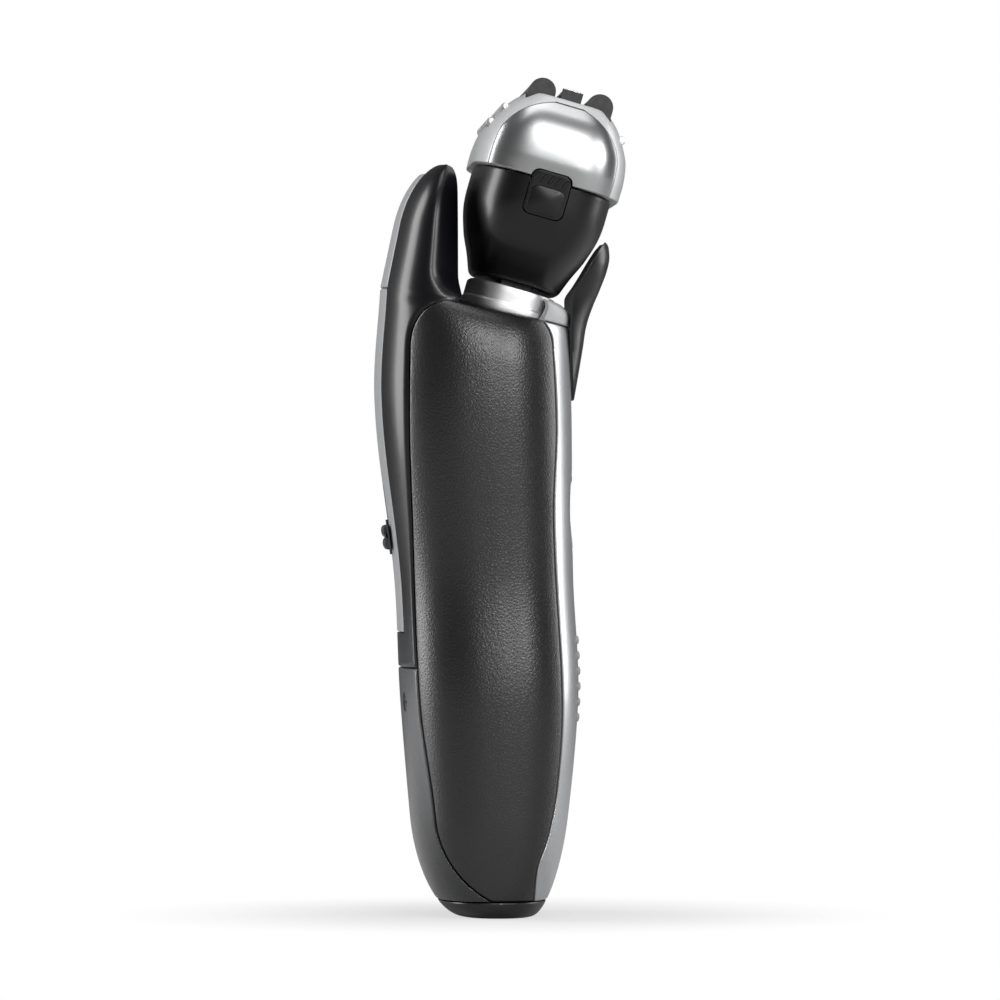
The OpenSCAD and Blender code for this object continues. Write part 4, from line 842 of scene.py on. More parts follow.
@dataclass(frozen=True)
class Finish:
    """Look of one material."""

    colour: Colour
    roughness: float = 0.4
    metallic: float = 0.0
    coat: float = 0.0
    grain: Grain = Grain.MOULDED
    size: float = 0.25
    relief: float = 0.15
    spread: float = 0.06
    wear: float = 0.25
    fade: tuple[float, float, Colour] | None = None
    across: Colour = (1.0, 1.0, 1.0)
    clear: float = 0.0
    specular: float = 0.5

    def relief_and_tone(self, shader: Shader) -> tuple[Sock, Sock]:
        """Builds the fine relief.

        Args:
            shader: Material under construction.

        Returns:
            The relief's height from 0 to 1 and a tone from 0 to 1 that goes with it.
        """
        place = shader.place()
        per = 1 / (self.size * MM)
        soft = shader.noise(place, 60.0, 2.0)
        if self.grain is Grain.LEATHER:
            colours = shader.node("ShaderNodeTexNoise", {"Vector": place, "Scale": per * 0.7}, 1)
            shift = {0: colours, 1: (0.5 * self.size * MM,) * 3, 2: place}
            bent = shader.node("ShaderNodeVectorMath", shift, operation="MULTIPLY_ADD")
            pebble = shader.cells(bent, per).between(0.02, 0.34)
            small = shader.cells(bent, per * 2.3).between(0.0, 0.3)
            wrinkle = shader.noise(place, per * 0.45, 4.0)
            height = pebble * (0.55 + 0.3 * small) + wrinkle * 0.35
            return height, pebble * 0.7 + soft * 0.3
        if self.grain is Grain.BRUSHED:
            lines = shader.noise(shader.scaled(place, self.across), per, 5.0, 0.7)
            fine = shader.noise(shader.scaled(place, self.across), per * 3.1, 3.0)
            return lines * 0.7 + fine * 0.3, lines * 0.6 + soft * 0.4
        if self.grain is Grain.SATIN:
            flakes = shader.cells(place, per, "F1")
            return flakes * 0.6 + shader.noise(place, per * 0.5) * 0.4, flakes * 0.4 + soft * 0.6
        if self.grain is Grain.POLISHED:
            return shader.noise(place, per * 0.3, 2.0), soft
        if self.grain is Grain.PERFORATED:
            x, y, _ = shader.axes(shader.place("UV"))
            rows = y * (per * ROWS_PER_HOLE)
            shift = (rows.floor() * 0.5).fraction()
            u = (x * per + shift).fraction() - 0.5
            v = (rows.fraction() - 0.5) * ROW_PITCH
            hole = (u * u + v * v).root().between(0.28, 0.36)
            return hole, hole * 0.85 + soft * 0.15
        if self.grain in (Grain.WIRE, Grain.LAMINATED):
            x, y, z = shader.axes(shader.scaled(place, self.across))
            wires = ((x + y + z) * (per * 2 * math.pi)).wave() * 0.5 + 0.5
            return wires, wires * 0.7 + soft * 0.3
        fine = shader.noise(place, per, 3.0)
        return fine, shader.noise(place, per * 0.2, 3.0) * 0.5 + soft * 0.5

    def material(self, name: str) -> bpy.types.Material:
        """Builds the material.

        Args:
            name: Name of the material.

        Returns:
            The finished material.
        """
        shader = Shader(bpy.data.materials.new(name))
        height, tone = self.relief_and_tone(shader)
        dark = tuple(c * (1 - self.spread) for c in self.colour)
        light = tuple(min(1.0, c * (1 + self.spread)) for c in self.colour)
        colour = shader.blend(tone, dark, light)
        # Colour ramp by height (object Z), from the given colour low down to the finish's colour higher up:
        # on black_shell a painted reflection, lighter grey low on the shell; on smoky_panel darker towards
        # the bottom.
        if self.fade:
            low, high, end = self.fade
            _, _, z = shader.axes(shader.place())
            colour = shader.blend(z.between(low * MM, high * MM), end, colour)
        edge = shader.node("ShaderNodeNewGeometry", {}, "Pointiness").between(0.52, 0.62)
        worn = edge * shader.noise(shader.place(), 900.0, 4.0).between(0.35, 0.7) * self.wear
        colour = shader.blend(worn, colour, tuple(min(1.0, c * 1.4 + 0.08) for c in self.colour))
        smear = shader.noise(shader.place(), 130.0, 4.0) - 0.5
        rough = self.roughness + smear * (0.16 * self.roughness) + worn * 0.1
        relief = {"Strength": self.relief, "Distance": 0.35 * self.size * MM, "Height": height}
        inputs: dict[Any, Any] = {
            "Base Color": colour,
            "Roughness": rough,
            "Metallic": self.metallic,
            "Coat Weight": self.coat,
            "Coat Roughness": 0.06,
            "Normal": shader.node("ShaderNodeBump", relief),
            "Transmission Weight": self.clear,
            "Specular IOR Level": self.specular,
        }
        if self.grain is Grain.PERFORATED:
            inputs["Alpha"] = height.between(0.1, 0.6) * 0.8 + 0.2
        return shader.finish(shader.node("ShaderNodeBsdfPrincipled", inputs))


BARE_METAL: dict[str, Any] = {"metallic": 1.0, "grain": Grain.BRUSHED, "wear": 0.1}


def metal(colour: Colour, rough: float, size: float, relief: float, across: Colour, **more: Any) -> Finish:
    """Finish of bare metal, with its grain drawn out by a scale on each axis."""
    return Finish(colour, rough, size=size, relief=relief, across=across, **{**BARE_METAL, **more})


def plastic(colour: Colour, rough: float, size: float, relief: float, spread: float, **more: Any) -> Finish:
    """Finish of moulded plastic or rubber."""
    return Finish(colour, rough, size=size, relief=relief, spread=spread, **more)


FINISHES: dict[str, Finish] = {
    "grip_elastomer": Finish(
        (0.004, 0.004, 0.0045), 0.34, grain=Grain.LEATHER, size=0.7, relief=0.14, spread=0.3, wear=0.0,
        specular=1.0,
    ),
    "silver_shell": Finish((0.62, 0.63, 0.64), 0.3, 0.8, 0.15, Grain.SATIN, 0.08, 0.08, 0.03, 0.1),
    "button_metal": metal((0.56, 0.57, 0.58), 0.28, 0.12, 0.12, (1, 0.03, 1), spread=0.05, metallic=0.95),
    "bright_ring": Finish((0.78, 0.79, 0.80), 0.1, 1.0, 0.0, Grain.POLISHED, 0.3, 0.03, 0.02, 0.1),
    "clear_lens": Finish((0.85, 0.90, 0.92), 0.12, 0.0, 0.3, Grain.POLISHED, 0.3, 0.03, 0.02, 0.0, clear=0.7),
    "soft_dots": plastic((0.32, 0.33, 0.335), 0.5, 0.12, 0.2, 0.08),
    # The height ramp here is a painted reflection: lighter grey below 50 mm, blending to black by 68 mm.
    "black_shell": plastic(
        (0.005, 0.005, 0.0065), 0.3, 0.12, 0.03, 0.1, coat=0.1, wear=0.1, fade=(50, 68, (0.05, 0.052, 0.055)),
    ),
    "grey_panel": Finish((0.56, 0.57, 0.58), 0.38, 0.2, 0.1, Grain.SATIN, 0.08, 0.08, 0.05, 0.2),
    # The height ramp here makes the panel darker towards the bottom, from 40 mm down to 2 mm.
    "smoky_panel": plastic(
        (0.17, 0.173, 0.18), 0.24, 0.2, 0.04, 0.08, metallic=0.1, coat=0.4, wear=0.1,
        fade=(2, 40, (0.035, 0.036, 0.038)),
    ),
    "black_base": plastic((0.018, 0.018, 0.02), 0.34, 0.15, 0.15, 0.1, coat=0.1, wear=0.3),
    "contact_metal": metal((0.72, 0.56, 0.24), 0.22, 0.1, 0.15, (1, 0.05, 1), spread=0.08, wear=0.2),
    "inner_plastic": plastic((0.05, 0.053, 0.06), 0.45, 0.2, 0.25, 0.12),
    "collar_metal": metal((0.82, 0.82, 0.83), 0.45, 0.1, 0.08, (1, 1, 0.03), spread=0.03),
    "boot_rubber": plastic((0.02, 0.02, 0.021), 0.6, 0.25, 0.4, 0.15),
    "trim_plastic": Finish((0.56, 0.57, 0.575), 0.5, 0.1, 0.1, Grain.SATIN, 0.08, 0.08, 0.04, 0.2),
    "pin_steel": metal((0.5, 0.51, 0.52), 0.26, 0.1, 0.15, (0.1, 1, 1), spread=0.06, wear=0.2),
    "gloss_black": Finish((0.003, 0.003, 0.004), 0.34, 0.0, 0.1, Grain.POLISHED, 0.4, 0.02, 0.1, 0.1),
    "frame_plastic": plastic((0.70, 0.71, 0.715), 0.34, 0.15, 0.05, 0.04, coat=0.3, wear=0.1),
    "end_metal": metal((0.52, 0.525, 0.53), 0.3, 0.09, 0.1, (1, 1, 0.04), spread=0.05),
    "roller_metal": metal((0.8, 0.8, 0.81), 0.38, 0.1, 0.06, (1, 0.05, 1), spread=0.04, metallic=0.9),
    "foil_steel": Finish((0.16, 0.165, 0.17), 0.34, 0.9, 0.0, Grain.PERFORATED, 0.8, 0.5, 0.5, 0.0),
    "holder_plastic": plastic((0.016, 0.016, 0.018), 0.38, 0.15, 0.2, 0.12),
    "blade_steel": metal((0.52, 0.54, 0.56), 0.24, 0.08, 0.15, (1, 0.08, 1), spread=0.06, wear=0.3),
    "motor_steel": metal(
        (0.36, 0.37, 0.38), 0.34, 0.5, 0.5, (0, 1, 0), grain=Grain.LAMINATED, spread=0.12, wear=0.2,
    ),
    "coil_copper": metal(
        (0.62, 0.27, 0.10), 0.24, 0.35, 0.8, (0, 0, 1), metallic=0.9, coat=0.3, grain=Grain.WIRE, spread=0.2,
    ),
    "switch_plastic": plastic((0.05, 0.053, 0.057), 0.36, 0.15, 0.2, 0.1),
    "cell_wrap": Finish((0.10, 0.26, 0.42), 0.22, 0.0, 0.5, Grain.POLISHED, 0.8, 0.05, 0.06, 0.1),
    "board_green": plastic((0.025, 0.13, 0.05), 0.3, 0.5, 0.15, 0.2, coat=0.3, wear=0.1),
    "chip_black": plastic((0.03, 0.03, 0.032), 0.5, 0.1, 0.3, 0.1),
}


class Wardrobe:
    """Makes each finish's material once and puts it on pieces."""

    def __init__(self) -> None:
        """Starts with no materials made."""
        self.made: dict[str, bpy.types.Material] = {}

    def dress(self, obj: bpy.types.Object, slot: str) -> bpy.types.Object:
        """Gives an object the finish of a material slot.

        Args:
            obj: Object to dress.
            slot: Name of the slot.

        Returns:
            The same object.
        """
        if slot not in self.made:
            self.made[slot] = FINISHES[slot].material(slot)
        obj.data.materials.clear()
        obj.data.materials.append(self.made[slot])
        for face in obj.data.polygons:
            face.material_index = 0
        return obj


SLOT_OF: dict[str, str] = {row["node"]: row["material_slot"] for row in frame["record"]["subparts"]}
BODY_OF: dict[str, str] = {
    node: body for body, nodes in frame["record"]["behaviour"]["bodies"].items() for node in nodes
}
WARDROBE = Wardrobe()
REPLACED: set[str] = set()


def stand_for(obj: bpy.types.Object, node: str, angle: float = 38.0) -> bpy.types.Object:
    """Puts a detailed piece in place of one solid piece: smooth, dressed and riding on its body.

    Args:
        obj: The detailed piece.
        node: Name of the solid piece.
        angle: Edges sharper than this many degrees stay sharp.

    Returns:
        The same object.
    """
    smooth(obj, angle)
    WARDROBE.dress(obj, SLOT_OF[node])
    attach(obj, BODY_OF[node])
    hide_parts(node)
    REPLACED.add(node)
    log.info("%s: %d faces", obj.name, len(obj.data.polygons))
    return obj


# ---- the handle ----


@dataclass
class HandlePieces:
    """Grips, shells, panels and controls of the handle."""

    shape: HandleShape = field(default_factory=HandleShape)
    guard: GuardShape = field(default_factory=GuardShape)
    button_radius: float = 6.4
    ring_width: float = 1.1
    button_gap: float = 0.12
    disc_wall: float = 1.6
    switch_height: float = 76
    switch_slope: float = 7.61395
    travel: float = 7
    screw_height: float = 43
    screw_side: float = 9.0
    screw_radii: tuple[float, float] = (2.0, 1.1)
    contact_x: float = -0.6
    contact_side: float = 6.0
    contact_radius: float = 2.05
    lens_drop: float = 15
    lens_radius: float = 1.6
    trimmer_inset: float = 2.5
    trimmer_depth: float = 3.4
    pocket_gap: float = 0.25
    dot_rows: int = 6
    dot_columns: int = 5
    dot_pitch: tuple[float, float] = (3.1, 4.0)
    dot_low: float = 39.8

    def build(self) -> None:
        """Builds every piece of the handle."""
        for side in SIDES:
            self.grip(side)
        self.front_shell()
        self.button()
        self.rear_shell()
        self.rear_panel()
        self.trimmer_cover()
        self.lower_panel()
        self.base()
        self.switch_knob()
        self.dots()

    def grip(self, side: int) -> None:
        """Builds one elastomer grip.

        Args:
            side: 1 for the left grip and -1 for the right.
        """

        def point(h: float, s: float, depth: float) -> Vector:
            """Point of the grip at a height and a share from front to back."""
            a = mix(self.shape.front_angle(h), self.shape.rear_angle(h), s)
            p = self.shape.skin(h, a, depth)
            return Vector((p.x, p.y * side, p.z))

        panel = Panel(point, self.shape.base_height + self.shape.seam, self.shape.height, 1.8, 0.7, 90, 44)
        stand_for(panel.build(f"grip_pad_{SIDES[side]}"), f"grip_{SIDES[side]}")

    def upright(self, h: float, side: float = 0.0, back: bool = False, slope: float | None = None) -> Matrix:
        """Placement with its Z axis out of the front or the back at a height.

        Args:
            h: Height.
            side: Distance aside from the middle line.
            back: Whether it is on the back.
            slope: Slope of the surface in degrees, or None to work it out.

        Returns:
            The placement in millimetres.
        """
        s = self.shape
        reach = s.rear_reach if back else s.front_reach
        if slope is None:
            slope = math.degrees(math.atan((reach(h + 1) - reach(h - 1)) / 2))
        u, power = abs(side / s.half_width(h)), s.squareness
        curve = s.half_depth(h) / s.half_width(h) * u ** (power - 1) * (1 - u**power) ** (1 / power - 1)
        aside = math.copysign(math.atan(curve), side) if side else 0.0
        drop = s.half_depth(h) * (1 - (1 - u**power) ** (1 / power))
        x = -reach(h) + drop if back else reach(h) - drop
        level = Matrix.Translation((x, side, h)) @ Matrix.Rotation(-aside if back else aside, 4, "Z")
        return level @ turn(-90 - slope if back else 90 + slope, "Y")

    def front_shell(self) -> None:
        """Builds the silver front shell with its thumb dish and holes."""
        s = self.shape

        def point(h: float, share: float, depth: float) -> Vector:
            """Point of the front shell at a height and a share across."""
            edge = s.front_angle(h, s.seam)
            a = mix(-edge, edge, share)
            y = s.width_at(h, a) * signed_power(sin_d(a), 2 / s.squareness)
            dish = s.dish(h, y) if depth < s.wall else 0.0
            return s.skin(h, a, depth + dish)

        panel = Panel(point, s.base_height + s.seam, s.height - 0.3, s.wall, 0.35, 130, 64)
        ring = self.button_radius + self.button_gap + self.ring_width + 0.05
        holes = [
            prism(circle(ring, 96), -4, 4, self.upright(s.dish_height)),
            prism(circle(self.lens_radius, 48), -4, 4, self.upright(s.dish_height - self.lens_drop)),
        ]
        stand_for(cut(panel.build("front_silver_shell"), holes), "front_shell")

    def dished_disc(self, name: str, inner: float, outer: float, out: float, dome: float) -> bpy.types.Object:
        """Round piece that follows the thumb dish, with rounded borders.

        Args:
            name: Name of the object.
            inner: Inner radius, or 0 for a full disc.
            outer: Outer radius.
            out: How far it stands out of the dish.
            dome: Radius of its rounded border.

        Returns:
            The piece.
        """
        s = self.shape
        mesher = Mesher()
        rings: Grid = []
        border = min(dome, (outer - inner) * 0.45)
        angles = [3.75 * k for k in range(96)]
        for share, near in border_steps(outer - inner, border, 10):
            r = mix(inner, outer, share)
            drop = rounded_depth(outer - r if inner == 0 else near, outer, border)
            r = max(r, 0.02)
            rings.append([s.front_at(r * cos_d(a), s.dish_height + r * sin_d(a), out - drop) for a in angles])
        index = mesher.grid(rings, closed=True)
        low = [
            mesher.grid([[p - Vector((self.disc_wall, 0, 0)) for p in ring]], closed=True)[0]
            for ring in (rings[0], rings[-1])
        ]
        mesher.join(index[-1], low[1], closed=True)
        mesher.join(low[1], low[0], closed=True)
        if inner == 0:
            mesher.lid(index[0])
            mesher.lid(low[0])
        else:
            mesher.join(index[0], low[0], closed=True)
        return mesher.build(name)

    def button(self) -> None:
        """Builds the power button and its bright ring."""
        gap = self.button_radius + self.button_gap
        disc = self.dished_disc("power_button_cap", 0.0, self.button_radius, 0.06, 0.25)
        stand_for(disc, "power_button")
        ring = self.dished_disc("power_button_bezel", gap, gap + self.ring_width, 0.16, 0.3)
        stand_for(ring, "power_button_ring")

    def dots(self) -> None:
        """Builds the rows of soft finger dots on the front shell."""
        mesher = Mesher()
        up, across = self.dot_pitch
        for row in range(self.dot_rows):
            for column in range(self.dot_columns):
                place = self.upright(self.dot_low + up * row, (column - self.dot_columns // 2) * across)
                rings: Grid = []
                for a in steps(0, 90, 6):
                    r, z = 0.85 * cos_d(a) ** 0.8, 0.02 + 0.4 * sin_d(a)
                    rings += rings_at(circle(max(r, 0.01), 24), [z], place)
                mesher.solid(rings)
        stand_for(mesher.build("finger_dot_rows"), "finger_dots", 60)

    def shell_columns(self, h: float, half: float, deep: float) -> list[tuple[float, float]]:
        """Angles of the rear shell at a height, each with its depth.

        Args:
            h: Height of the ring.
            half: Half the width of the recess for the rear panel.
            deep: Depth of the recess.

        Returns:
            Pairs of angle and depth from one side to the other.
        """
        handle = self.shape
        edge = handle.rear_angle(min(h, handle.height), handle.seam)
        corner = self.guard.panel_angle(h, half)
        side = [(mix(edge, corner, u), 0.0) for u in steps(0, 1, 20)]
        back = [(mix(corner + 0.3, 360 - corner - 0.3, u), deep) for u in steps(0, 1, 24)]
        other = [(360 - a, d) for a, d in reversed(side)]
        return side + back + other

    def rear_shell(self) -> None:
        """Builds the glossy rear shell, whose top rises as the guard behind the head."""
        handle, guard = self.shape, self.guard
        half, panel_low = guard.panel_width / 2 + 0.36, guard.panel_low - handle.seam
        outer: Grid = []
        inner: Grid = []

        def ring(h: float, deep: float, inset: float = 0.0) -> None:
            """Adds one ring of the shell at a height."""
            columns = self.shell_columns(h, half, deep)
            row, back = [], []
            first = guard.outside(h, columns[0][0], 0.0)
            n = len(columns)
            for i, (a, d) in enumerate(columns):
                near = min(i, n - 1 - i)
                edge = 0.35 if near == 0 else 0.12 if near == 1 else 0.0
                row.append(guard.outside(h, a, d + max(edge, inset)))
                u = 2 * i / (n - 1) - 1
                x = -guard.front(h) - guard.hollow(h) * (1 - u * u) - 0.2
                low = h <= handle.height
                back.append(handle.skin(h, a, handle.wall) if low else guard.plane(h, x, -u * first.y * 0.97))
            outer.append(row)
            inner.append(back)

        recess = guard.panel_wall + 0.1
        for h, inset in ((0.0, 0.35), (0.05, 0.19), (0.16, 0.06), (0.35, 0.0)):
            ring(handle.rear_seam + h, 0.0, inset)
        for h in steps(handle.rear_seam + 1, panel_low, 6):
            ring(h, 0.0)
        for h in steps(panel_low + 0.06, handle.height, 44):
            ring(h, recess)
        for h in steps(handle.height + 0.4, guard.top - 3, 22) + steps(guard.top - 2.6, guard.top, 8):
            ring(h, min(recess, 0.4 * (guard.rear(h) - guard.front(h))))
        mesher = Mesher()
        mesher.plate(outer, inner)
        shell = mesher.build("rear_gloss_shell")
        slot = box_at((-4, -2.5, -3.6), (8 + self.travel, 5, 7.2), self.switch_place())
        stand_for(cut(shell, [self.trimmer_pocket(), slot]), "rear_shell", 34)

    def trimmer_pocket(self) -> bpy.types.Object:
        """Box that hollows the guard for the pop-up trimmer."""
        shape, guard = self.shape, self.guard
        inner = -shape.half_depth(shape.height) + guard.panel_wall
        rise = (guard.cover_top - shape.height) * sin_d(shape.neck_lean)
        face = -guard.rear(guard.cover_top) - rise + guard.panel_wall + 0.7
        wide = guard.panel_width - 2 * self.trimmer_inset + 2 * self.pocket_gap
        deep = face + self.trimmer_depth + self.pocket_gap - inner + 8
        return box_at((inner - 8, -wide / 2, 5), (deep, wide, 54), shape.top_place())

    def switch_place(self) -> Matrix:
        """Placement of the trimmer switch, with its Z axis out of the back."""
        return self.upright(self.switch_height, back=True, slope=self.switch_slope)

    def rear_panel(self) -> None:
        """Builds the grey panel of the back with the slot of the switch."""
        guard = self.guard

        def point(h: float, s: float, depth: float) -> Vector:
            """Point of the rear panel at a height and a share across."""
            corner = guard.panel_angle(0, guard.panel_width / 2)
            return self.shape.skin(h, mix(corner, 360 - corner, s), depth)

        panel = Panel(point, guard.panel_low, self.shape.height - 0.2, guard.panel_wall, 0.3, 50, 36)
        place = self.switch_place() @ Matrix.Translation((self.travel / 2, 0, 0))
        slot = prism(rounded_rect(8 + self.travel, 5, 2.2), -3.6, 3.6, place)
        stand_for(cut(panel.build("rear_grey_panel"), [slot]), "rear_panel")

    def trimmer_cover(self) -> None:
        """Builds the cover that slides up with the trimmer."""
        guard = self.guard

        def point(h: float, s: float, depth: float) -> Vector:
            """Point of the cover at a height and a share across."""
            corner = guard.panel_angle(h, guard.panel_width / 2 - 0.15)
            return guard.point(h, mix(corner, 360 - corner, s), depth)

        panel = Panel(point, self.shape.height + 0.12, guard.cover_top, guard.panel_wall, 0.3, 28, 36)
        stand_for(panel.build("trimmer_sliding_cover"), "trimmer_cover")

    def lower_panel(self) -> None:
        """Builds the smoky panel low on the back with its screw holes."""
        s = self.shape

        def point(h: float, share: float, depth: float) -> Vector:
            """Point of the lower panel at a height and a share across."""
            a = s.rear_angle(h, s.seam)
            return s.skin(h, mix(a, 360 - a, share), depth)

        panel = Panel(point, s.base_height + s.seam, s.rear_seam - s.seam, s.wall, 0.35, 44, 70)
        holes = []
        head, shank = self.screw_radii
        for side in (-self.screw_side, self.screw_side):
            place = self.upright(self.screw_height, side, back=True)
            holes += [prism(circle(head, 48), -1.1, 4, place), prism(circle(shank, 32), -4, 4, place)]
        stand_for(cut(panel.build("rear_smoky_panel"), holes), "rear_lower_panel")

    def base(self) -> None:
        """Builds the base cap with the recesses of the charging contacts."""
        rims = [(0.0, 0.35), (0.03, 0.2), (0.12, 0.06)]
        rims += [(h, 0.0) for h in (0.25, 0.5, 0.8, 1.2, 1.6, 2.1, 2.6)] + [(3.0, 0.05), (3.2, 0.22)]
        mesher = Mesher()
        mesher.solid([[self.shape.skin(h, 360 * k / 160, d) for k in range(160)] for h, d in rims])
        places = [Matrix.Translation((self.contact_x, side * self.contact_side, 0)) for side in (-1, 1)]
        holes = [prism(circle(self.contact_radius, 64), -1, 5, place) for place in places]
        stand_for(cut(mesher.build("base_end_cap"), holes), "base_cap")

    def switch_knob(self) -> None:
        """Builds the trimmer switch: two ridged lobes on a slider."""
        place = self.switch_place()
        profile = [(-2.5, 0.3), (-2.5, 0.62)]
        for lobe in (-1.25, 1.25):
            for a in steps(180, 0, 24):
                ridge = 0.03 * cos_d(a * 14)
                height = 0.62 + (0.85 + ridge) * abs(sin_d(a)) ** 0.8
                profile.append((lobe + (1.24 + ridge) * cos_d(a), height))
        profile += [(2.5, 0.62), (2.5, 0.3)]
        ends = [(6.2, 0.0), (6.42, 0.2), (6.5, 0.5)]
        widths = [(-y, pull) for y, pull in reversed(ends)]
        widths += [(y, 0.0) for y in steps(-5.8, 5.8, 12)] + ends
        rows: Grid = []
        for y, pull in widths:
            thin, low = 1 - pull * 0.12, 1 - pull * 0.5
            rows.append([place @ Vector((x * thin, y, 0.3 + (z - 0.3) * low)) for x, z in profile])
        mesher = Mesher()
        mesher.solid(rows)
        mesher.solid(box_rings((-3.5, -2.3, -3.35), (7, 4.6, 3.75), place))
        mesher.solid(box_rings((-3.5, -5, -3.35), (7, 10, 1.2), place))
        stand_for(mesher.build("trimmer_switch_knob"), "trimmer_switch", 30)


# ---- the neck and the head ----


@dataclass
class NeckPieces:
    """Collar, trim and front guard between the handle and the head."""

    handle: HandleShape = field(default_factory=HandleShape)
    head: HeadShape = field(default_factory=HeadShape)
    half_depth: float = 9.0
    half_width: float = 20.0
    squareness: float = 3.2
    wall: float = 1.3
    top: float = -0.9
    height: float = 5.2
    flare: float = 0.4
    trim_height: float = 10
    trim_wall: float = 1.4
    trim_reach: float = 62

    def build(self) -> None:
        """Builds every piece of the neck."""
        self.collar()
        self.trim()
        self.front_guard()

    def ring(self, w: float, out: float, angle: float) -> Vector:
        """Point of the collar in the head's frame, standing out by a distance."""
        depth, width = self.half_depth + out, self.half_width + 0.4 * out
        return self.head.section(depth, width, self.squareness, w, angle, 0.0)

    def collar(self) -> None:
        """Builds the bright collar with its bevelled lower band."""
        low, wall, out = self.top - self.height, self.wall, self.flare
        step = self.top - 0.7 * self.height
        band = self.top - 0.62 * self.height
        profile = [
            (low, wall), (low, -out + 0.25), (low + 0.06, -out + 0.08), (low + 0.2, -out),
            (mix(low, step, 0.5), -out), (step - 0.1, -out), (step, -out + 0.04),
            (mix(step, band, 0.5), -out * 0.45), (band - 0.05, -0.02), (band + 0.1, 0.0),
            (mix(band, self.top, 0.5), 0.0), (self.top - 0.4, 0.0), (self.top - 0.2, 0.08),
            (self.top - 0.06, 0.24), (self.top, 0.5), (self.top, wall),
        ]
        place = self.head.matrix()
        rows = [[place @ self.ring(w, -inset, 360 * k / 144) for k in range(144)] for w, inset in profile]
        mesher = Mesher()
        index = mesher.grid(rows, closed=True)
        mesher.join(index[-1], index[0], closed=True)
        stand_for(mesher.build("neck_bright_collar"), "neck_collar", 28)

    def trim(self) -> None:
        """Builds the pale corner piece between the front shell and the collar."""
        handle, place = self.handle, self.head.matrix()
        low = handle.height - 0.3 + handle.seam
        low_edge = handle.front_angle(handle.height - 0.3, handle.seam)

        def point(h: float, share: float, depth: float) -> Vector:
            """Point of the trim at a share up it and a share across."""
            u = (h - low) / self.trim_height
            k = 2 * share - 1
            bulge = 0.8 * sin_d(180 * u)
            inner = depth / self.trim_wall
            far = mix(1.2, self.flare + 0.1, inner)
            a = handle.skin(low, k * low_edge, depth)
            b = place @ self.ring(self.top - 0.4 - 0.1 * inner, far, k * self.trim_reach)
            return a.lerp(b, u) + Vector((bulge, 0, bulge / 2))

        panel = Panel(point, low, low + self.trim_height, self.trim_wall, 0.3, 14, 60)
        stand_for(panel.build("neck_pale_trim"), "neck_trim", 34)

    @property
    def shoulder(self) -> float:
        """Height of the shoulder, where the fin is fixed."""
        return 0.84 * self.handle.height

    def fin_drop(self, y: float) -> float:
        """How far the shoulder's skin falls back at a distance from the middle."""
        s = self.handle
        u = abs(y / s.half_width(self.shoulder))
        return s.half_depth(self.shoulder) * (1 - (1 - u**s.squareness) ** (1 / s.squareness))

    def front_guard(self) -> None:
        """Builds the black fin in front of the neck, with smooth faces and a rounded rim."""
        stations = (
            (-18.6, 0.3, 0.5, 5), (-14, 0.3, 1.3, 8), (-8, 0.3, 2.3, 10.4), (-4.6, 0.35, 2.8, 11.6),
            (-2.2, 0.4, 3.4, 12.2), (0.8, 0.4, 4.5, 12.6), (2.4, 0.6, 5.2, 12.8), (4.6, 2.1, 6.1, 12.9),
            (7, 3.6, 7, 12.9), (9.6, 5, 7.6, 12.4), (11.8, 6.1, 7.5, 11), (13, 6.7, 7.2, 8.6),
        )
        inner, outer, half = (tuple((row[0], row[k]) for row in stations) for k in (1, 2, 3))
        reach = self.handle.front_reach(self.shoulder)
        low, high = stations[0][0], stations[-1][0]
        outside: Grid = []
        inside: Grid = []
        for z in steps(low, high, 90):
            a, b, c = along(inner, z), along(outer, z), along(half, z)
            fade = min(1.0, (high - z) / 0.5, (z - low) / 0.4)
            skin = mix(0.5, 1.0, math.sqrt(max(0.0, fade)))
            front, back = [], []
            for k in steps(-1, 1, 40):
                y, share = k * c, abs(k) ** 4
                x = mix(a + 0.1, mix(a, b, skin), 1 - share)
                face, h = reach - self.fin_drop(y), self.handle.height + z
                front.append(Vector((face + max(x, a + 0.1), y, h)))
                back.append(Vector((face + a, y, h)))
            outside.append(front)
            inside.append(back)
        mesher = Mesher()
        mesher.plate(outside, inside)
        stand_for(mesher.build("front_guard_fin"), "front_guard", 50)


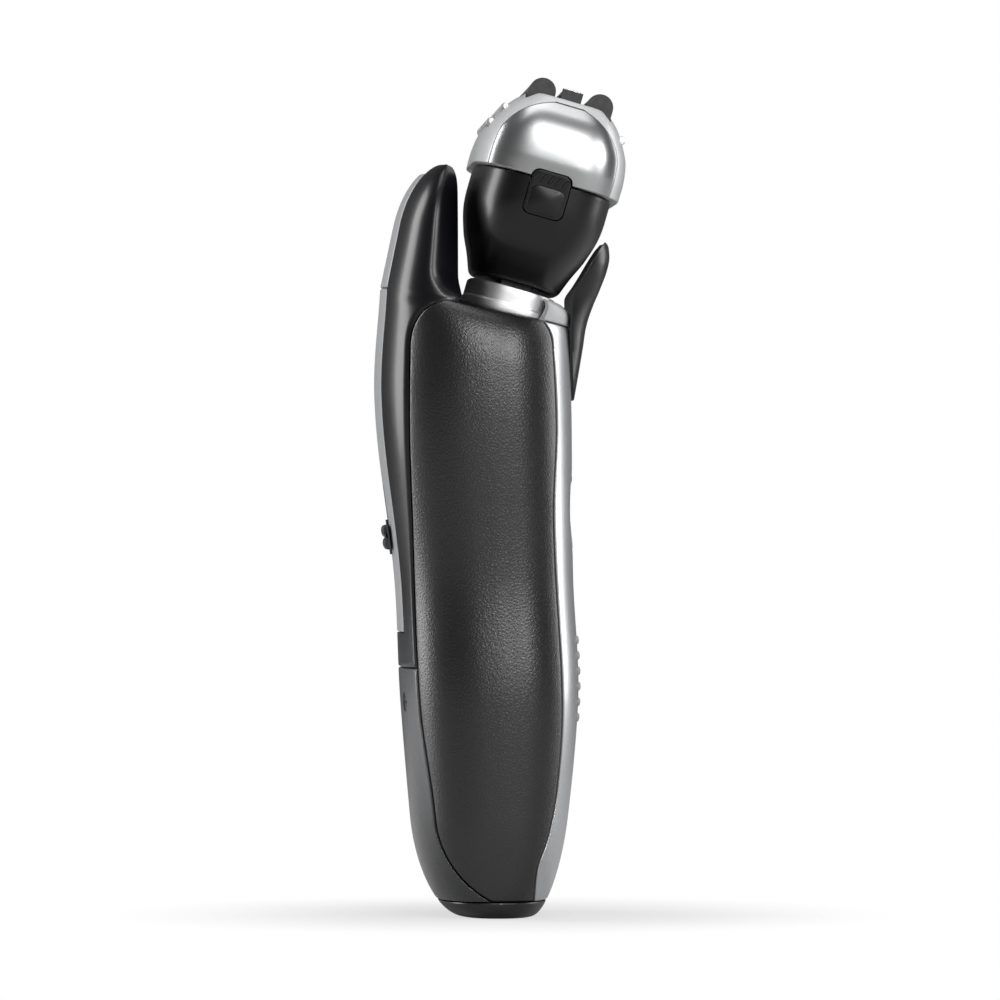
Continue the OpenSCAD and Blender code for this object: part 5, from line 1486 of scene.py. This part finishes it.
@dataclass
class HeadPieces:
    """Housing, foil frame, end panels, foils and rollers of the head."""

    head: HeadShape = field(default_factory=HeadShape)
    release_lean: float = 8
    release_centre: float = 18
    release_gap: float = 0.2
    release_corner: float = 1.6
    fork_gap: float = 5.4
    fork_middle: float = 16.4
    fork_wall: float = 2.8
    slot_gap: float = 0.5
    roller_radius: float = 0.9
    roller_sink: float = 0.35
    roller_gap: float = 0.22
    panel_proud: float = 0.25
    seam: float = 0.24

    @property
    def panel_top(self) -> float:
        """Top of the end panels."""
        return self.head.top - self.head.panel_drop

    @property
    def roller_length(self) -> float:
        """Length of the rollers between their pins."""
        return self.head.foil_length - 8

    def build(self) -> None:
        """Builds every outer piece of the head."""
        self.housing()
        self.foil_frame()
        for side in SIDES:
            self.end_panel(side)
            self.release_button(side)
            self.foil(side)
        self.rollers()

    def release_place(self, side: int) -> Matrix:
        """Placement of a release button, with its Z axis out of the head and Y up it."""
        across = Vector((0, 1, 0))
        shift = Matrix.Translation((0.5, side * (self.head.bowl_width - 0.3), self.release_centre))
        flip, mirror = Matrix.Scale(side, 4, across), Matrix.Scale(-1, 4, across)
        return self.head.matrix() @ shift @ flip @ turn(-90 - self.release_lean, "X") @ mirror

    def release_hole(self, side: int) -> bpy.types.Object:
        """Prism that cuts the opening of a release button."""
        gap = 2 * self.release_gap
        width, height = self.head.release_width + gap, self.head.release_height + gap
        return prism(rounded_rect(width, height, self.release_corner), -6, 6, self.release_place(side))

    def cup(self, name: str, outer: Grid, inner: Grid) -> bpy.types.Object:
        """Cup from outer and inner rings, both from the closed end to the rim."""
        mesher = Mesher()
        a, b = mesher.grid(outer, closed=True), mesher.grid(inner, closed=True)
        mesher.lid(a[0])
        mesher.lid(b[0])
        mesher.join(a[-1], b[-1], closed=True)
        return mesher.build(name)

    def housing(self) -> None:
        """Builds the black bowl with the openings of the fork and the buttons."""
        head, place = self.head, self.head.matrix()
        top = head.housing
        rounds = [(0.0, 1.0), (0.06, 0.66), (0.2, 0.36), (0.45, 0.12), (0.8, 0.02)]
        outer_rows = rounds + [(w, 0.0) for w in steps(1.2, top - 0.4, 44)] + [(top - 0.15, 0.04), (top, 0.2)]
        inner_rows = [(w, head.bowl_wall) for w in [head.bowl_wall] + steps(0.2 * top, top, 10)]
        grids = [
            [[place @ head.bowl(w, 360 * k / 168, inset) for k in range(168)] for w, inset in rows]
            for rows in (outer_rows, inner_rows)
        ]
        bowl = self.cup("head_black_bowl", grids[0], grids[1])
        holes = [self.release_hole(side) for side in SIDES]
        wide = self.fork_wall + 2 * self.slot_gap
        for side in SIDES:
            low = (-self.fork_gap, side * self.fork_middle - wide / 2, -1)
            holes.append(box_at(low, (2 * self.fork_gap, wide, head.bowl_wall + 2), place))
        stand_for(cut(bowl, holes), "head_housing", 34)

    def frame_ring(self, w: float, deep: float, inset: float) -> list[Vector]:
        """Ring of the foil frame, recessed behind the end panels."""
        head = self.head
        edge = head.panel_edge(min(w, self.panel_top), self.seam / 2)
        spots: list[tuple[float, float]] = []
        for half in (0, 180):
            spots += [(t + half, 0.0) for t in steps(-edge + 0.9, edge - 0.9, 40)]
            spots += [(t + half, deep) for t in steps(edge, 180 - edge, 40)]
        place = self.head.matrix()
        return [place @ head.frame_point(w, t, d + inset) for t, d in spots]

    def roller_spots(self) -> list[tuple[str, float, float]]:
        """Node, distance from the middle and height of each roller."""
        head, sink = self.head, self.roller_sink
        high, low = head.bottom + 12, head.bottom + 8.4
        return [
            ("rear_roller_upper", -head.frame_half_depth(high) + sink, high),
            ("rear_roller_lower", -head.frame_half_depth(low) + sink, low),
            ("front_roller", head.frame_half_depth(high) - sink, high),
        ]

    def along_head(self, x: float, w: float) -> Matrix:
        """Placement with its Z axis across the head."""
        return self.head.matrix() @ Matrix.Translation((x, 0, w)) @ turn(90, "X")

    def foil_frame(self) -> None:
        """Builds the foil frame with its window and roller grooves."""
        head, place = self.head, self.head.matrix()
        top, low, panel_top = head.top, head.bottom, self.panel_top
        deep = head.panel_wall + 0.12
        rows = [(top, 0.0, 0.42), (top - 0.04, 0.0, 0.24), (top - 0.14, 0.0, 0.1), (top - 0.32, 0.0, 0.02)]
        rows += [(w, 0.0, 0.0) for w in steps(top - 0.5, panel_top + 0.14, 4)]
        rows += [(w, deep, 0.0) for w in steps(panel_top + 0.08, low + 0.3, 48)]
        rows += [(low + 0.12, deep, 0.04), (low + 0.03, deep, 0.14), (low, deep, 0.3)]
        outer = [self.frame_ring(*row) for row in rows]
        inner = [
            self.frame_ring(w, 0.0, head.frame_wall + (0.5 if w > low + 6 else deep * 0.7))
            for w in (top - head.frame_wall, top - 3.4, low + 10, low + 6, low)
        ]
        body = self.cup("head_foil_frame", outer, inner)
        depth = head.foil_spacing + 2 * head.foil_radius + 0.6
        wide = head.foil_length + 3.4
        outline = rounded_rect(depth, wide, 0.6)
        holes = [
            prism(outline, top - 3, top + 3, place),
            box_at((-depth / 2 - 0.5, -wide / 2, top - 9.5), (depth + 1, wide, 6.6), place),
        ]
        half, radius = self.roller_length / 2 + self.roller_gap, self.roller_radius + self.roller_gap
        for _, x, w in self.roller_spots():
            spot = self.along_head(x, w)
            holes.append(prism(circle(radius, 48), -half, half, spot))
            holes.append(prism(circle(0.45, 24), -half - 1, half + 1, spot))
        holes += [self.release_hole(side) for side in SIDES]
        stand_for(cut(body, holes), "foil_frame", 34)

    def end_panel(self, side: int) -> None:
        """Builds one silver end panel.

        Args:
            side: 1 for the left side of the head and -1 for the right.
        """
        head, place = self.head, self.head.matrix()

        def point(w: float, share: float, depth: float) -> Vector:
            """Point of the end panel at a height and a share from front to back."""
            edge = head.panel_edge(w, -self.seam / 2)
            p = head.frame_point(w, mix(edge, 180 - edge, share), depth - self.panel_proud)
            return place @ Vector((p.x, p.y * side, p.z))

        name = SIDES[side]
        panel = Panel(point, head.bottom, self.panel_top, head.panel_wall + self.panel_proud, 0.22, 50, 60)
        stand_for(cut(panel.build(f"silver_end_{name}"), [self.release_hole(side)]), f"end_panel_{name}", 34)

    def release_button(self, side: int) -> None:
        """Builds one release button: a pad with a soft crown under a strip of slanting ridges.

        Args:
            side: 1 for the left side of the head and -1 for the right.
        """
        head, place = self.head, self.release_place(side)
        width, height = head.release_width, head.release_height
        mesher = Mesher()

        def block(w: float, h: float, y: float, low: float, high: float, crown: float, corner: float) -> None:
            """Adds a rounded block whose face swells by a crown."""
            borders = [(0.0, low), (0.0, high - 0.22), (0.02, high - 0.1), (0.08, high - 0.03), (0.2, high)]
            rows: Grid = []
            for pull, z in borders:
                outline = rounded_rect(w - 2 * pull, h - 2 * pull, corner, side=8)
                rows.append([place @ Vector((p.x, p.y + y, z)) for p in outline])
            across, up = w - 0.4, h - 0.4
            for share in (0.9, 0.76, 0.62, 0.48, 0.34, 0.2, 0.06):
                outline = rounded_rect(across * share, up * share, corner * share, side=8)
                swell = [crown * (1 - (2 * p.x / across) ** 2) * (1 - (2 * p.y / up) ** 2) for p in outline]
                rows.append([place @ Vector((p.x, p.y + y, high + z)) for p, z in zip(outline, swell)])
            mesher.solid(rows)

        block(width, height, 0.0, -head.bowl_wall, 0.2, 0.0, self.release_corner)
        block(width - 1, height - 3.6, -1.3, 0.15, 0.62, 0.36, self.release_corner)
        block(width - 2, height - 3, -0.6, -head.bowl_wall - 1.8, -head.bowl_wall + 0.01, 0.0, 1.4)
        for i in range(-2, 3):
            spot = place @ Matrix.Translation((i * 1.5, height / 2 - 1.5, 0)) @ turn(-30, "Z")
            rows = []
            for pull, z in ((0.0, 0.1), (0.0, 0.34), (0.05, 0.44), (0.14, 0.5)):
                rows += rings_at(rounded_rect(0.6 - pull, 1.8 - pull, 0.2 - pull / 2.2, 4), [z], spot)
            mesher.solid(rows)
        stand_for(mesher.build(f"release_pad_{SIDES[side]}"), f"release_button_{SIDES[side]}", 40)

    def foil(self, side: int) -> None:
        """Builds one perforated foil, with coordinates for its holes.

        Args:
            side: 1 for the front foil and -1 for the rear one.
        """
        head, place = self.head, self.head.matrix()
        radius, leg = head.foil_radius, head.foil_leg
        profile = [(radius, -leg + leg * k / 6) for k in range(6)]
        profile += [(radius * cos_d(a), radius * sin_d(a)) for a in steps(0, 180, 48)]
        profile += [(-radius, -leg * k / 6) for k in range(1, 7)]
        half = head.foil_length / 2
        middle = side * head.foil_spacing / 2
        grids: list[Grid] = []
        for thin in (1.0, (radius - head.foil_wall) / radius):
            spots = [(middle + x * thin, head.foil_centre + (z * thin if z > 0 else z)) for x, z in profile]
            grids.append([[place @ Vector((x, y, z)) for y in steps(-half, half, 54)] for x, z in spots])
        mesher = Mesher()
        mesher.plate(*grids)
        foil = mesher.build(f"{ENDS[side]}_shaving_foil")
        self.unroll(foil, side)
        stand_for(foil, f"{ENDS[side]}_foil", 40)

    def unroll(self, foil: bpy.types.Object, side: int) -> None:
        """Gives a foil flat coordinates in metres: along it, and round its bend."""
        head = self.head
        back = head.matrix().inverted()
        layer = foil.data.uv_layers.new(name="flat")
        for loop in foil.data.loops:
            p = back @ (foil.data.vertices[loop.vertex_index].co / MM)
            x, z = p.x - side * head.foil_spacing / 2, p.z - head.foil_centre
            if z > 0:
                run = math.atan2(z, x) * head.foil_radius
            else:
                run = z if x > 0 else math.pi * head.foil_radius - z
            layer.data[loop.index].uv = (p.y * MM, (run + 6) * MM)

    def rollers(self) -> None:
        """Builds the three glide rollers with rounded ends and fine grooves."""
        half, r = self.roller_length / 2, self.roller_radius
        end = [(half - 0.2, r), (half - 0.06, r - 0.06), (half, r - 0.2), (half, 0.4), (half + 1, 0.4)]
        profile = [(-z, q) for z, q in reversed(end)]
        for k in range(1, 6):
            z = mix(-half, half, k / 6)
            profile += [(z - 0.3, r), (z - 0.18, r - 0.05), (z + 0.18, r - 0.05), (z + 0.3, r)]
        profile += end
        for node, x, w in self.roller_spots():
            mesher = Mesher()
            mesher.solid([rings_at(circle(q, 48), [z], self.along_head(x, w))[0] for z, q in profile])
            stand_for(mesher.build(f"{node}_bar"), node, 40)


# ---- pieces kept from the solid part ----


@dataclass(frozen=True)
class Keep:
    """How a piece kept from the solid part is finished."""

    edge: float = 0.12
    segments: int = 2
    angle: float = 38.0


KEPT: dict[str, Keep] = {
    "inner_housing": Keep(0.1, 2, 50),
    "neck_boot": Keep(0.15),
    "neck_deck": Keep(0.15),
    "neck_fork": Keep(0.3, 3),
    "head_chassis": Keep(0.25, 2),
    "head_deck": Keep(0.2, 2),
    "battery_cell": Keep(0.35, 4),
    "motor_coils": Keep(0.5, 4),
    "trimmer_carriage": Keep(0.25, 3),
    "indicator_lens": Keep(0.12, 3),
    "charging_contacts": Keep(0.2, 4),
    "panel_screws": Keep(0.1, 3),
    "tilt_pins": Keep(0.2, 3),
    "trimmer_comb": Keep(0.06, 2),
    "trimmer_blade": Keep(0.06, 2),
    "centre_comb": Keep(0.06, 2),
    "rear_blade": Keep(0.05, 1),
    "front_blade": Keep(0.05, 1),
}


def keep_rest(replaced: set[str]) -> None:
    """Finishes every solid piece that no detailed piece replaces.

    Args:
        replaced: Names of the nodes already replaced.
    """
    for node, obj in frame["nodes"].items():
        if node in replaced:
            continue
        how = KEPT.get(node, Keep())
        bevel(obj, how.edge, how.segments, how.angle)
        smooth(obj, 34)
        WARDROBE.dress(obj, SLOT_OF[node])
        log.info("%s kept with %d faces", node, len(obj.data.polygons))


# ---- the studio ----


@dataclass(frozen=True)
class Lamp:
    """Soft rectangular light: its place round the object, its size in metres and its power in watts."""

    name: str
    azimuth: float
    elevation: float
    distance: float
    width: float
    height: float
    power: float

    def build(self, target: Vector) -> None:
        """Adds the light, facing a target.

        Args:
            target: Point that it faces, in metres.
        """
        data = bpy.data.lights.new(self.name, "AREA")
        data.shape = "RECTANGLE"
        data.size, data.size_y = self.width, self.height
        data.energy = self.power
        lamp = bpy.data.objects.new(self.name, data)
        level, up = self.distance * cos_d(self.elevation), self.distance * sin_d(self.elevation)
        out = Vector((level * sin_d(self.azimuth), -level * cos_d(self.azimuth), up))
        lamp.location = target + out
        lamp.rotation_euler = (-out).to_track_quat("-Z", "Y").to_euler()
        bpy.context.scene.collection.objects.link(lamp)


@dataclass
class Studio:
    """Pale floor, soft lights and the camera."""

    target: tuple[float, float, float] = (-0.0001, 0.0, 0.0834)
    turn: float = 2.5
    distance: float = 1.61
    lens: float = 288.0
    floor_reach: float = 2500.0
    lamps: Sequence[Lamp] = (
        Lamp("front_strip", 11, 20, 0.9, 0.06, 0.50, 2.0),
        Lamp("right_softbox", 38, 17, 0.7, 0.26, 0.28, 1.5),
        Lamp("rim_right", 118, 12, 0.7, 0.30, 0.60, 1.6),
        Lamp("left_softbox", -108, 16, 0.7, 0.30, 0.60, 3.4),
        Lamp("top_softbox", 10, 78, 0.6, 0.40, 0.40, 1.0),
    )

    def build(self) -> None:
        """Builds the floor, the light and the camera."""
        self.floor()
        self.world()
        for lamp in self.lamps:
            lamp.build(Vector(self.target))
        self.camera()

    def floor(self) -> None:
        """Builds the plain pale floor."""
        mesher = Mesher()
        ends = (-self.floor_reach, self.floor_reach)
        mesher.grid([[Vector((x, y, 0.0)) for x in ends] for y in ends])
        floor = mesher.build("studio_floor")
        shader = Shader(bpy.data.materials.new("studio_floor"))
        pale = shader.node("ShaderNodeBsdfDiffuse", {"Color": (0.6, 0.6, 0.6, 1)})
        seen = shader.node("ShaderNodeLightPath", {}, "Is Camera Ray")
        white = shader.node("ShaderNodeEmission", {"Color": (1, 1, 1, 1), "Strength": 1.0})
        x, y, _ = shader.axes(shader.place())
        away = (x * x + y * y).root().between(0.015, 0.085) * 0.35 + 0.65
        mixed = shader.node("ShaderNodeMixShader", {0: away * seen, 1: pale, 2: white})
        floor.data.materials.append(shader.finish(mixed))
        floor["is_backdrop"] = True

    def world(self) -> None:
        """Builds the surroundings: white behind the object and soft grey as light."""
        air = Shader(bpy.data.worlds.new("studio_air"))
        seen = air.node("ShaderNodeLightPath", {}, "Is Camera Ray")
        soft = air.node("ShaderNodeBackground", {"Color": (0.9, 0.9, 0.92, 1), "Strength": 0.12})
        white = air.node("ShaderNodeBackground", {"Color": (1, 1, 1, 1), "Strength": 1.0})
        mixed = air.node("ShaderNodeMixShader", {0: seen, 1: soft, 2: white})
        bpy.context.scene.world = air.finish(mixed, "ShaderNodeOutputWorld")

    def camera(self) -> None:
        """Places the camera in front of the object's side."""
        data = bpy.data.cameras.new("camera")
        data.lens = self.lens
        data.sensor_width = 36
        camera = bpy.data.objects.new("camera", data)
        ahead = Vector((sin_d(self.turn), cos_d(self.turn), 0.0))
        camera.location = Vector(self.target) - ahead * self.distance
        camera.rotation_euler = ahead.to_track_quat("-Z", "Y").to_euler()
        bpy.context.scene.collection.objects.link(camera)
        bpy.context.scene.camera = camera


def main() -> None:
    """Builds the pieces in order, then the studio, and measures both boxes."""
    logging.basicConfig(level=logging.INFO, format="%(name)s: %(message)s")
    bpy.context.scene.view_settings.view_transform = "Standard"
    HandlePieces().build()
    NeckPieces().build()
    HeadPieces().build()
    log.info("%d detailed pieces", len(REPLACED))
    keep_rest(REPLACED)
    Studio().build()
    sizes = {"cad": CAD_BOX, "visual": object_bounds()}
    {key: [[float(v) for v in corner] for corner in box] for key, box in sizes.items()}


if __name__ == "__main__":
    main()
